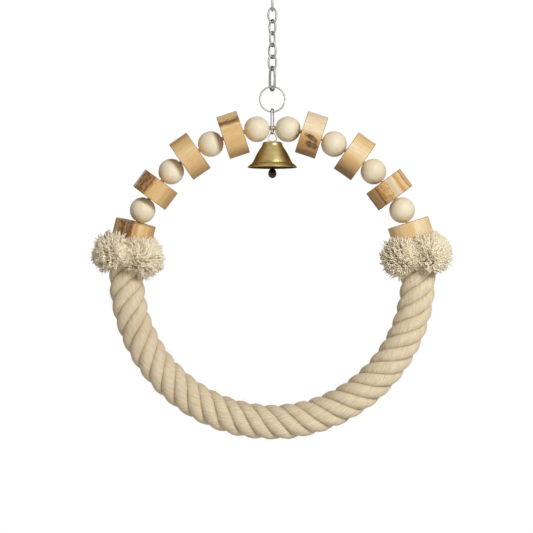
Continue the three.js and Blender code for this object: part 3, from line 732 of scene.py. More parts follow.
def shaped(name, solid, place=None, attributes=None, sharp_above=None):
    """A linked object with a mesh of these corners and faces, moved to its place in the mesh itself."""
    corners, faces = solid
    mesh = bpy.data.meshes.new(name)
    mesh.from_pydata([tuple(corner) for corner in corners], [], faces)
    for key, values in (attributes or {}).items():
        values = np.asarray(values, np.float32)
        kind, slot_name = ("FLOAT_VECTOR", "vector") if values.ndim == 2 else ("FLOAT", "value")
        mesh.attributes.new(key, kind, "POINT").data.foreach_set(slot_name, values.ravel())
    if place is not None:
        mesh.transform(place)
    mesh.shade_smooth()
    if sharp_above is not None:
        mesh.set_sharp_from_angle(angle=math.radians(sharp_above))
    mesh.validate()
    return linked(bpy.data.objects.new(name, mesh))


def settle(piece, body, slot, *nodes, material=None):
    """Gives a piece its finish and its body, and hides the frame nodes that it stands for. Its slot is not
    used.
    """
    if material is not None:
        piece.data.materials.clear()
        piece.data.materials.append(material)
    if not piece.data.polygons:
        raise RuntimeError(f"{piece.name} came out empty")
    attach(piece, body)
    if nodes:
        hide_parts(*nodes)


def middle(node):
    low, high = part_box(node)
    return (low + high) / 2


def quarter_turn(axis):
    return Matrix.Rotation(math.pi / 2, 4, axis)


def hoop_centre():
    sizes = settings().sizes
    return Vector(JOINTS["hoop_swing"]["pos_m"]) - Vector((0, 0, sizes.hoop_radius + sizes.hoop_peak))


def station(angle):
    """A place on the hoop's circle, by the angle from its top to the right: X along the wire, Z outwards."""
    out = Matrix.Translation((0, 0, settings().sizes.hoop_radius))
    return Matrix.Translation(hoop_centre()) @ Matrix.Rotation(angle, 4, "Y") @ out


def threaded(node):
    """The place of a bead or a block: X along its bore and Z out of the hoop."""
    joint = JOINTS[node + "_spin"]
    along = Vector(joint["axis"]).normalized()
    out = along.cross(Vector((0, 1, 0))).normalized()
    turn = Matrix((along, out.cross(along), out)).transposed().to_4x4()
    return Matrix.Translation(joint["pos_m"]) @ turn


def collar_angle():
    """The angle on the hoop of the middle of a frayed collar, which holds the last block."""
    sizes = settings().sizes
    offset = Vector(JOINTS["block_right_4_spin"]["pos_m"]) - hoop_centre()
    sunk = (sizes.block_length + sizes.collar_length) / 2 - sizes.collar_sink
    return math.atan2(offset.x, offset.z) + math.asin(sunk / sizes.hoop_radius)


# Meshes grown by node trees


def grown(name, tree, values):
    """A linked object with the plain mesh that a node tree makes from these named values."""
    holder = linked(bpy.data.objects.new(name, bpy.data.meshes.new(name)))
    modifier = holder.modifiers.new(tree.name, "NODES")
    modifier.node_group = tree
    sockets = {
        item.name: item.identifier
        for item in tree.interface.items_tree
        if item.item_type == "SOCKET" and item.in_out == "INPUT"
    }
    for key, value in values.items():
        modifier[sockets[key]] = value
    depsgraph = bpy.context.evaluated_depsgraph_get()
    mesh = bpy.data.meshes.new_from_object(
        holder.evaluated_get(depsgraph), preserve_all_data_layers=True, depsgraph=depsgraph
    )
    holder.modifiers.clear()
    holder.data = mesh
    mesh.name = name
    return holder


@cache
def wire_link_tree():
    """An oval link of round wire that stands upright, turned and set at a height, with painted shade in its
    bends where it touches the next link.
    """
    nodes, given, finish = new_grower("Wire link", {FLOAT: "Length, Width, Roundness, Wire, Turn, Height"})
    x, y, _ = nodes.split(nodes.position())

    def squared(share, length):
        """A share of half the length over the wire, drawn out towards its ends by the roundness."""
        return nodes.signed_power(share, given["Roundness"]) * ((length - given["Wire"]) * 0.5)

    outline = nodes.xyz(squared(x, given["Width"]), squared(y, given["Length"]), 0.0)
    oval = nodes.moved(nodes.circle(192, 1.0), outline)
    even = nodes.add("GeometryNodeResampleCurve", {"Curve": oval, "Count": 96}, mode="COUNT")
    from_middle = nodes.abs(y) * 2.0 / given["Length"]
    # Painted shade at the link's ends, where the next link touches it
    shaded_oval = nodes.stored(even, "grime", nodes.fade(from_middle, 0.74, 0.88, 0.0, 0.75))
    section = nodes.circle(20, given["Wire"] * 0.5)
    wire = nodes.add("GeometryNodeCurveToMesh", {"Curve": shaded_oval, "Profile Curve": section})
    return finish(nodes.add("GeometryNodeTransform", {
        "Geometry": wire, "Rotation": nodes.xyz(math.pi / 2, 0.0, given["Turn"]),
        "Translation": nodes.xyz(0.0, 0.0, given["Height"]),
    }))


# Strands of the rope: how wide one is against its share of the rope's round, how far its lay wanders in
# radians, how far its thickness does, and how full its back is
STRAND_OVERLAP = 1.06
LAY_WANDER = 0.22
STRAND_SWELL = 0.5 * MM
STRAND_FULLNESS = 1.15


@cache
def laid_strand_tree():
    """One strand of a laid rope that follows the lower part of the hoop, with yarns raised on its back."""
    nodes, given, finish = new_grower("Laid strand", {
        VECTOR: "Hoop Centre",
        FLOAT: "Hoop Radius, Rope Radius, Strand Depth, Strands, Strand Number, Lay Length, Start Angle, "
               "Sweep Angle, Yarn Relief",
        INTEGER: "Steps, Section Points",
    })
    hoop_radius, rope_radius, depth = given["Hoop Radius"], given["Rope Radius"], given["Strand Depth"]
    number, strands, sweep = given["Strand Number"], given["Strands"], given["Sweep Angle"]
    x, y, z = nodes.split(nodes.position())
    along = z + 0.5
    length = hoop_radius * sweep
    along_mm = along * length / MM
    round_strand = nodes.atan2(y, x)
    aside = nodes.sin(round_strand) * (math.pi / strands * STRAND_OVERLAP)
    laid = z * length / given["Lay Length"] + number / strands
    wander = nodes.noise(nodes.xyz(laid * 6.0, number, 5.0), 1.0, 1.0) - 0.5
    round_rope = laid * math.tau + aside + wander * LAY_WANDER
    around_mm = round_rope * (rope_radius / MM)

    yarn_place = nodes.xyz(around_mm + along_mm * FIBRE_LEAN, along_mm * 0.07, 0.0)
    relief = (nodes.noise(yarn_place, 0.9, 2.0) - 0.5) * given["Yarn Relief"]
    swell = (nodes.noise(nodes.xyz(0.0, along_mm, number), 0.06, 1.0) - 0.5) * STRAND_SWELL
    facing = nodes.cos(round_strand)
    lobe = nodes.signed_power(facing, STRAND_FULLNESS) * (depth + swell)
    radius = rope_radius - depth + lobe + relief * facing

    hoop_turn = given["Start Angle"] + sweep * along
    reach = hoop_radius + radius * nodes.cos(round_rope)
    in_front = radius * nodes.sin(round_rope) * -1.0
    offset = nodes.xyz(reach * nodes.sin(hoop_turn), in_front, reach * nodes.cos(hoop_turn))
    pipe = nodes.cylinder(given["Section Points"], given["Steps"])
    marked = nodes.stored(pipe, "fibre", nodes.xyz(around_mm, along_mm, round_strand), "FLOAT_VECTOR")
    return finish(nodes.moved(marked, offset + given["Hoop Centre"]))


# What is drawn for each frayed yarn, in the order of the draws
YARN_DRAWS = {
    "pick": (0.0, 1.0), "aside": (-1.0, 1.0), "rise": (-1.0, 1.0), "length": (0.9, 1.06), "curl": (-1.0, 1.0),
    "phase": (0.0, math.tau), "own": (0.0, 1.0), "girth": (0.8, 1.15),
}

# Half the angle of a tuft's fan in radians, how far its yarns rise, how far they droop beside the block and how
# much more outside it, how strongly they clump, and how much the tuft's surface swells
TUFT_FAN = 1.85
TUFT_RISE = 0.95
TUFT_DROOP = (0.42, 0.5)
TUFT_CLUMPING = 0.9
TUFT_SWELL = 0.65

# How much further off the block one yarn's tip stays than another's, how far below the block it begins to, how
# far its root may lie up the rope and to the side, and how far below and out of the tuft's middle it bends
TIP_SPREAD = 1.2 * MM
BLOCK_NEARNESS = 1.5 * MM
ROOT_SPREAD = 3.0 * MM
ROOT_ASIDE = 3.2 * MM
BEND_DROP = 2.4 * MM
BEND_REACH = 3.0 * MM


@cache
def frayed_mop_tree():
    """Frayed yarns that burst from each strand's end into a tuft, round the block that sits among the tufts."""
    nodes, given, finish = new_grower("Frayed mop", {
        INTEGER: "Count, Seed, Sides, Segments",
        FLOAT: "Yarn Radius, Tufts, Tuft Turn, Tuft Ring, Tuft Radius, Tuft Height, Stretch, Crinkle, Lie, "
               "Root Radius, Root Height, Block Radius, Block Bottom, Turn",
        VECTOR: "Place",
    })
    cloud = nodes.add("GeometryNodePoints", {"Count": given["Count"]})
    for number, (name, (low, high)) in enumerate(YARN_DRAWS.items()):
        cloud = nodes.stored(cloud, name, nodes.draw(low, high, given["Seed"] + float(number)))
    x, y, z = nodes.split(nodes.position())
    stem = nodes.cylinder(given["Sides"], given["Segments"])
    stem = nodes.stored(stem, "stem", nodes.xyz(x, y, z + 0.5), "FLOAT_VECTOR")
    many = nodes.add("GeometryNodeInstanceOnPoints", {"Points": cloud, "Instance": stem})
    many = nodes.add("GeometryNodeRealizeInstances", {0: many})

    side, face, along = nodes.split(nodes.read("stem", "FLOAT_VECTOR"))
    aside, rise, own, phase = (nodes.read(name) for name in ("aside", "rise", "own", "phase"))
    tuft = nodes.math("FLOOR", nodes.read("pick") * given["Tufts"])
    azimuth = tuft / given["Tufts"] * math.tau + given["Tuft Turn"]
    cos_azimuth, sin_azimuth = nodes.cos(azimuth), nodes.sin(azimuth)

    def in_collar(outwards, sideways, up):
        """A vector of the tuft's own frame in the collar's frame."""
        return nodes.xyz(
            outwards * cos_azimuth - sideways * sin_azimuth, outwards * sin_azimuth + sideways * cos_azimuth, up
        )

    # The way a yarn bursts out of its tuft's middle
    fan = aside * TUFT_FAN
    facing = nodes.cos(fan)
    droop = nodes.min(rise, 0.0) * (TUFT_DROOP[0] + facing * facing * TUFT_DROOP[1])
    rise = nodes.max(rise, 0.0) * TUFT_RISE + droop
    level = nodes.sqrt(1.0 - rise * rise)
    burst = in_collar(level * facing, level * nodes.sin(fan), rise)
    own_tuft = burst + nodes.xyz(tuft * 7.3, given["Seed"], 0.0)
    burst = nodes.unit(burst + nodes.sway(own_tuft, 2.6) * TUFT_CLUMPING)

    # Its tip, laid over sideways and kept off the block
    swell = nodes.noise(own_tuft, 2.4, 2.0) - 0.5
    stretch = (nodes.read("length") + swell * TUFT_SWELL) * given["Stretch"]
    centre = in_collar(given["Tuft Ring"], 0.0, given["Tuft Height"])
    tip = centre + burst * (given["Tuft Radius"] * stretch)
    lie = nodes.sway(own_tuft + (3.1, 5.7, 9.2), 3.0)
    tip = tip + nodes.cross(nodes.cross(burst, lie), burst) * given["Lie"]
    tip_x, tip_y, tip_z = nodes.split(tip)
    reach = nodes.hypotenuse(tip_x, tip_y)
    beside_block = nodes.fade(tip_z, given["Block Bottom"] - BLOCK_NEARNESS, given["Block Bottom"])
    clear = (given["Block Radius"] + own * TIP_SPREAD) * beside_block
    pushed = nodes.max(reach, clear) / reach
    tip = nodes.xyz(tip_x * pushed, tip_y * pushed, tip_z)

    # Its curve from the root over the bend to the tip, and the crinkled yarn round that
    root = in_collar(given["Root Radius"], aside * ROOT_ASIDE, given["Root Height"] + own * ROOT_SPREAD)
    bend = centre - (0.0, 0.0, BEND_DROP) + burst * BEND_REACH
    back = 1.0 - along
    path = root * (back * back) + bend * (back * along * 2.0) + tip * (along * along)
    heading = (bend - root) * back + (tip - bend) * along
    first = nodes.unit(nodes.cross(heading, (0.36, 0.48, 0.8)))
    second = nodes.unit(nodes.cross(heading, first))
    crinkle = along * given["Crinkle"]
    wave = nodes.sin(along * 9.0 + phase) * nodes.read("curl")
    ripple = nodes.sin(along * 11.0 + phase * 3.0) * 0.6
    girth = given["Yarn Radius"] * nodes.read("girth")
    girth = girth * nodes.fade(along, 0.3, 0.8, 0.8, 1.3) * nodes.fade(along, 1.02, 0.88, 0.55, 1.0)
    offset = first * (side * girth + wave * crinkle) + second * (face * girth + ripple * crinkle)
    around = nodes.atan2(face, side)
    marked = nodes.stored(many, "yarn", nodes.xyz(around, along, own), "FLOAT_VECTOR")
    return finish(nodes.add("GeometryNodeTransform", {
        "Geometry": nodes.moved(marked, path + offset), "Rotation": nodes.xyz(0.0, given["Turn"], 0.0),
        "Translation": given["Place"],
    }))


# How far a stray fibre bows aside and stands off, as shares of its length, and how far it bends over in radians
HAIR_BOW = 0.85
HAIR_RISE = 0.55
HAIR_BEND = 1.7


@cache
def stray_fibre_tree():
    """Short bent hairs that stand off a surface."""
    nodes, given, finish = new_grower("Stray fibres", {
        "NodeSocketObject": "Surface", INTEGER: "Count, Seed", FLOAT: "Hair Length, Hair Radius",
    })
    seed, length = given["Seed"], given["Hair Length"]
    surface = nodes.add("GeometryNodeObjectInfo", {"Object": given["Surface"]}, "Geometry")
    whole_area = nodes.add(
        "GeometryNodeAttributeStatistic",
        {"Geometry": surface, "Attribute": nodes.add("GeometryNodeInputMeshFaceArea")},
        "Sum", data_type="FLOAT", domain="FACE",
    )
    scattered = nodes.outputs(
        "GeometryNodeDistributePointsOnFaces",
        {"Mesh": surface, "Density": given["Count"] / whole_area, "Seed": seed},
        distribute_method="RANDOM",
    )
    x, y, z = nodes.split(nodes.position())
    share = z / length + 0.5
    bow = share * share * (length * HAIR_BOW)
    rise = nodes.sin(share * HAIR_BEND) * (length * HAIR_RISE)
    hair = nodes.moved(nodes.cylinder(3, 5, given["Hair Radius"], length, "NONE"), nodes.xyz(x + bow, y, rise))
    turn = nodes.xyz(0.0, 0.0, nodes.draw(0.0, math.tau, seed + 1.0))
    spin = nodes.add(
        "FunctionNodeRotateRotation",
        {0: scattered["Rotation"], 1: nodes.add("FunctionNodeEulerToRotation", {0: turn})},
        rotation_space="LOCAL",
    )
    scale = nodes.draw(0.5, 1.5, seed + 2.0)
    return finish(nodes.add(
        "GeometryNodeInstanceOnPoints",
        {"Points": scattered["Points"], "Instance": hair, "Rotation": spin, "Scale": scale},
    ))


# Operators, one for each piece or group of like pieces


class MakeChain(bpy.types.Operator):
    """Makes the chain's links, the connecting link and the hanger link"""

    bl_idname = "ring_swing.make_chain"
    bl_label = "Make chain"

    # How round a link is: 1 for an ellipse, less for straighter sides
    ROUNDNESS = {"chain": 0.95, "connecting": 0.8, "hanger": 0.5}

    def execute(self, context):
        sizes = settings().sizes
        low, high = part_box("hanger_link")
        links = [
            (f"chain_link_{number}", turn, sizes.chain_length, sizes.chain_width, sizes.chain_wire)
            for number, turn in enumerate(CHAIN_TURNS, 1)
        ] + [
            ("connecting_link", CONNECTING_TURN, sizes.connecting_length, sizes.connecting_width,
             sizes.connecting_wire),
            ("hanger_link", HANGER_TURN, high.z - low.z, sizes.hanger_width, sizes.hanger_wire),
        ]
        for node, turn, length, width, wire in links:
            piece = grown(node.replace("link", "wire_link"), wire_link_tree(), {
                "Length": length, "Width": width, "Wire": wire, "Roundness": self.ROUNDNESS[node.split("_")[0]],
                "Turn": math.radians(turn), "Height": middle(node).z, "Finish": steel("chain"),
            })
            settle(piece, node, "chain_steel", node)
        return {"FINISHED"}


class MakeQuickLink(bpy.types.Operator):
    """Makes the quick link and its threaded sleeve"""

    bl_idname = "ring_swing.make_quick_link"
    bl_label = "Make quick link"

    def execute(self, context):
        sizes = settings().sizes
        low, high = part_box("quick_link")
        sleeve_low, sleeve_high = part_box("quick_link_sleeve")
        centre = middle("quick_link_sleeve")
        rod, bend = sizes.quick_link_rod, centre.xy.length
        turn = Matrix.Rotation(math.radians(QUICK_LINK_TURN), 4, "Z")
        straight_top, straight_low = high.z - rod / 2 - bend, low.z + rod / 2 + bend
        open_top = (sleeve_low.z + sleeve_high.z + sizes.quick_link_opening) / 2
        open_low = open_top - sizes.quick_link_opening
        route = row((bend, open_top), (bend, straight_top), 6)[:-1]
        route += arc((0, straight_top), bend, 0, 180, 36)
        route += row((-bend, straight_top), (-bend, straight_low), 10)[1:-1]
        route += arc((0, straight_low), bend, 180, 360, 36)
        route += row((bend, straight_low), (bend, open_low), 6)[1:]
        bent = shaped("quick_link_rod", loft(wire_rings(route, rod / 2, 28)), turn, sharp_above=50)
        settle(bent, "quick_link", "chain_steel", "quick_link", material=steel("chain"))
        sleeve = self.sleeve((sleeve_high.z - sleeve_low.z) / 2, rod / 2)
        nut = shaped("quick_link_nut", sleeve, Matrix.Translation(centre) @ turn, sharp_above=28)
        settle(nut, "quick_link_sleeve", "chain_steel", "quick_link_sleeve", material=steel("chain"))
        return {"FINISHED"}

    def sleeve(self, half, rod):
        """A hexagon tube whose corners are turned off at both ends."""
        flat, play, chamfer, turned_off = settings().sizes.sleeve_flats / 2, 0.25 * MM, 0.55 * MM, 1.03

        def outline(angle):
            from_flat = (angle + math.pi / 6) % (math.pi / 3) - math.pi / 6
            reach = flat / math.cos(from_flat)
            return tube(rod + play, min(reach, flat * turned_off), reach, half, half - chamfer)

        return lathe(outline, 72)


class MakeSplitRing(bpy.types.Operator):
    """Makes the split ring, two coils of flat wire with a step between them"""

    bl_idname = "ring_swing.make_split_ring"
    bl_label = "Make split ring"

    STEP_ANGLE = 34
    END_GAP_ANGLE = 7
    START_ANGLE = 20

    def execute(self, context):
        sizes = settings().sizes
        high, wide, corner = sizes.ring_wire_height / 2, sizes.ring_wire_width / 2, 0.16 * MM
        radius = sizes.ring_diameter / 2 - high
        spacing = sizes.ring_wire_width + sizes.ring_coil_gap
        coil = 360 - self.END_GAP_ANGLE
        step_start = coil - self.STEP_ANGLE
        section = [
            point
            for sx, sy, start in ((-1, -1, 180), (1, -1, 270), (1, 1, 0), (-1, 1, 90))
            for point in arc((sx * (high - corner), sy * (wide - corner)), corner, start, start + 90, 2)
        ]
        rings = []
        for along in np.linspace(0, coil + step_start, 300):
            share = min(max((along - step_start) / self.STEP_ANGLE, 0.0), 1.0)
            across = spacing * (share * share * (3 - 2 * share) - 0.5)
            angle = math.radians(self.START_ANGLE + along)
            out = Vector((math.cos(angle), 0, math.sin(angle)))
            rings.append([out * (radius + r) + Vector((0, across + w, 0)) for r, w in section])
        place = Matrix.Translation(middle("split_ring"))
        piece = shaped("split_ring_coils", loft(rings), place, sharp_above=50)
        settle(piece, "split_ring", "chain_steel", "split_ring", material=steel("chain"))
        return {"FINISHED"}


class MakeHoopWire(bpy.types.Operator):
    """Makes the wire that everything is threaded on, and the ferrule that closes it"""

    bl_idname = "ring_swing.make_hoop_wire"
    bl_label = "Make hoop wire"

    END_GAP = 1.0 * MM

    # Painted shade on the wire round the hanger, where it lies under the hanger link: how far it reaches, over
    # what length it grows and how strong it gets
    SHADE_REACH = 6.0 * MM
    SHADE_FADE = 2.0 * MM
    SHADE_MOST = 0.35

    def execute(self, context):
        sizes = settings().sizes
        radius, peak = sizes.hoop_radius, sizes.hoop_peak
        open_at = 180 - math.degrees(self.END_GAP / 2 / radius)
        route = []
        for angle in np.linspace(-open_at, open_at, 361):
            reach = radius + peak * math.exp(-(angle / PEAK_SPREAD) ** 2)
            route.append((reach * math.sin(math.radians(angle)), reach * math.cos(math.radians(angle))))
        solid = loft(wire_rings(route, sizes.hoop_wire / 2, 20))
        # Painted shade on the wire, strongest under the hanger
        from_hanger = np.hypot(solid[0][:, 0], solid[0][:, 2] - radius - peak)
        grime = np.clip((self.SHADE_REACH - from_hanger) / self.SHADE_FADE, 0.0, self.SHADE_MOST)
        place = Matrix.Translation(hoop_centre())
        wire = shaped("hoop_wire_bent", solid, place, {"grime": grime}, sharp_above=50)
        settle(wire, "hoop", "hoop_wire", "core_wire", material=steel("hoop"))

        half, bow = sizes.ferrule_length / 2, sizes.ferrule_length ** 2 / (8 * radius)
        play, wall, edge = 0.3 * MM, 0.35 * MM, 0.12 * MM
        bore = sizes.hoop_wire / 2 + bow + play
        solid = lathe(tube(bore, bore + wall - edge, bore + wall, half, half - edge), 48)
        place = station(math.pi) @ Matrix.Translation((0, 0, -bow / 2)) @ quarter_turn("Y")
        ferrule = shaped("hoop_ferrule", solid, place, sharp_above=40)
        settle(ferrule, "hoop", "hoop_wire", "wire_ferrule", material=steel("hoop"))
        return {"FINISHED"}


class MakeBeads(bpy.types.Operator):
    """Makes the turned beads"""

    bl_idname = "ring_swing.make_beads"
    bl_label = "Make beads"

    # For each side, the turn and the place that its beads' grain starts from, and the step of its tones
    GRAIN_STARTS = {"left": (0.7, 17.0, 1), "right": (2.1, -23.0, 0)}

    # How far the grain tilts and turns from bead to bead in radians and moves on in millimetres, and its level
    GRAIN_TILT = 0.5
    GRAIN_TURN = 1.3
    GRAIN_STEP = 31.0
    GRAIN_LEVEL = 11.0
    TONES = 5
    TONE_STRIDE = 3

    def execute(self, context):
        sizes = settings().sizes
        radius, bore = sizes.bead_diameter / 2, sizes.bead_bore / 2
        mouth_edge, mouth_depth = 0.25 * MM, 0.35 * MM
        mouth = math.degrees(math.acos((bore + mouth_edge) / radius))
        end = radius * math.sin(math.radians(mouth)) - mouth_depth
        solid = lathe(arc((0, 0), radius, -mouth, mouth, 44) + row((bore, end), (bore, -end), 5), 72)
        for number in range(1, 5):
            for side, (turn, aside, tone_step) in self.GRAIN_STARTS.items():
                node = f"bead_{side}_{number}"
                tilted = Matrix.Rotation(self.GRAIN_TILT * number, 4, "X")
                cut = tilted @ Matrix.Rotation(self.GRAIN_TURN * number + turn, 4, "Z")
                shift = Vector((self.GRAIN_STEP * number, aside, self.GRAIN_LEVEL))
                grain_place = [cut @ Vector(corner / MM) + shift for corner in solid[0]]
                tone = (number * self.TONE_STRIDE + tone_step) % self.TONES / (self.TONES - 1)
                marks = {"grain_place": grain_place, "tone": np.full(len(grain_place), tone)}
                place = threaded(node) @ quarter_turn("Y")
                piece = shaped(f"turned_{node}", solid, place, marks, sharp_above=60)
                settle(piece, node, "bead_wood", node, material=bead_wood())
        return {"FINISHED"}


class MakeBlocks(bpy.types.Operator):
    """Makes the cut wood blocks"""

    bl_idname = "ring_swing.make_blocks"
    bl_label = "Make blocks"

    # Radius of the edges, and how near to them the next row of corners lies
    EDGE = 0.4 * MM
    EDGE_HOLD = 0.12 * MM

    def execute(self, context):
        sizes = settings().sizes
        for label, diameter in BLOCK_DIAMETERS.items():
            node, radius = "block_" + label, diameter / 2 * MM
            corners, faces = self.block(radius, sizes.block_length / 2, sizes.block_bore / 2)
            corners = np.array([quarter_turn("Y") @ Vector(corner) for corner in corners])
            marks = {"grain_place": corners / MM}
            piece = shaped(f"cut_{node}", (corners, faces), threaded(node), marks, sharp_above=60)
            settle(piece, node, "block_wood", node, material=block_wood(label, radius))
        return {"FINISHED"}

    def block(self, radius, half, bore):
        edge = self.EDGE
        flat, straight = radius - edge - self.EDGE_HOLD, half - edge - self.EDGE_HOLD
        outline = row((bore, -half), (flat, -half), 12)
        outline += arc((radius - edge, -half + edge), edge, -90, 0, 4)
        outline += row((radius, -straight), (radius, straight), 12)
        outline += arc((radius - edge, half - edge), edge, 0, 90, 4)
        outline += row((flat, half), (bore, half), 12) + row((bore, half), (bore, -half), 7)[1:-1]
        return lathe(outline, 112)


class MakeRope(bpy.types.Operator):
    """Makes the laid rope perch and its stray fibres"""

    bl_idname = "ring_swing.make_rope"
    bl_label = "Make rope"

    OVERRUN = math.radians(7.0)
    YARN_RELIEF = 0.5 * MM
    HAIR_LENGTH = 2.2 * MM
    HAIR_RADIUS = 0.05 * MM
    FIRST_SEED = 11

    def execute(self, context):
        sizes = settings().sizes
        start = collar_angle() + math.asin(sizes.collar_length / 2 / sizes.hoop_radius) - self.OVERRUN
        for number in range(ROPE_STRANDS):
            strand = grown(f"laid_strand_{number + 1}", laid_strand_tree(), {
                "Hoop Centre": tuple(hoop_centre()), "Hoop Radius": sizes.hoop_radius,
                "Rope Radius": sizes.rope_diameter / 2, "Strand Depth": sizes.rope_strand_depth,
                "Strands": float(ROPE_STRANDS), "Strand Number": float(number), "Lay Length": sizes.rope_lay,
                "Start Angle": start, "Sweep Angle": (math.pi - start) * 2, "Steps": 440, "Section Points": 72,
                "Yarn Relief": self.YARN_RELIEF, "Finish": rope_cotton(),
            })
            settle(strand, "hoop", "rope_cotton", f"rope_strand_{number + 1}")
            hairs = grown(f"strand_hairs_{number + 1}", stray_fibre_tree(), {
                "Surface": strand, "Count": sizes.hair_count, "Seed": self.FIRST_SEED + number,
                "Hair Length": self.HAIR_LENGTH, "Hair Radius": self.HAIR_RADIUS, "Finish": stray_fibre(),
            })
            settle(hairs, "hoop", "rope_cotton")
        return {"FINISHED"}


class MakeCollars(bpy.types.Operator):
    """Makes the frayed collars at the rope's ends"""

    bl_idname = "ring_swing.make_collars"
    bl_label = "Make collars"

    SEEDS = {"left": 41, "right": 67}
    TUFT_TURNS = {"left": math.radians(43), "right": math.radians(36)}
    TUFT_HEIGHT = 0.3 * MM
    FINE_END_STRETCH = 1.05
    FINE_END_SEED = 100
    BLOCK_ROOM = 12.9 * MM
    CRINKLE = 1.1 * MM
    LIE = 9.0 * MM

    # Where the yarns are rooted: how deep in the rope and how far above the collar's lower end
    ROOT_DEPTH = 3.0 * MM
    ROOT_RISE = 4.0 * MM

    def execute(self, context):
        sizes = settings().sizes
        half, angle = sizes.collar_length / 2, collar_angle()
        for side, direction in SIDES.items():
            place = station(direction * angle).translation
            lean = direction * (angle - math.pi / 2)
            shape = {
                "Seed": self.SEEDS[side], "Tufts": float(ROPE_STRANDS), "Tuft Turn": self.TUFT_TURNS[side],
                "Tuft Ring": sizes.tuft_ring, "Tuft Radius": sizes.tuft_radius, "Tuft Height": self.TUFT_HEIGHT,
                "Root Radius": sizes.rope_diameter / 2 - self.ROOT_DEPTH, "Root Height": -half + self.ROOT_RISE,
                "Block Radius": self.BLOCK_ROOM, "Block Bottom": half - sizes.collar_sink,
                "Place": tuple(place), "Turn": lean, "Crinkle": self.CRINKLE, "Lie": self.LIE, "Segments": 6,
                "Finish": frayed_cotton(),
            }
            mop = grown(f"frayed_yarn_{side}", frayed_mop_tree(), {
                **shape, "Count": sizes.yarn_count, "Sides": 4, "Yarn Radius": sizes.yarn_radius,
                "Stretch": 1.0,
            })
            settle(mop, "hoop", "frayed_cotton", f"frayed_collar_{side}")
            ends = grown(f"fine_ends_{side}", frayed_mop_tree(), {
                **shape, "Count": sizes.fine_end_count, "Sides": 3, "Yarn Radius": sizes.fine_end_radius,
                "Stretch": self.FINE_END_STRETCH, "Seed": self.SEEDS[side] + self.FINE_END_SEED,
            })
            settle(ends, "hoop", "frayed_cotton")
            leaning = Matrix.Translation(place) @ Matrix.Rotation(lean, 4, "Y")
            core = shaped(f"fray_core_{side}", self.core(-half), leaning, sharp_above=60)
            settle(core, "hoop", "frayed_cotton", material=fray_core())
        return {"FINISHED"}

    def core(self, bottom):
        """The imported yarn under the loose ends, hollow for the wire."""
        sizes = settings().sizes
        bore, depth, foot, foot_top, share = 2.45 * MM, 2.2 * MM, 4.5 * MM, 6.0 * MM, 0.55
        rope = sizes.rope_diameter / 2 - depth
        outline = [(bore, bottom + foot), (rope, bottom + foot), (rope, bottom + foot_top)]
        outline += arc((sizes.tuft_ring, self.TUFT_HEIGHT), sizes.tuft_radius * share, -50, 62, 14)
        return lathe(outline + [(bore, outline[-1][1])], 72)


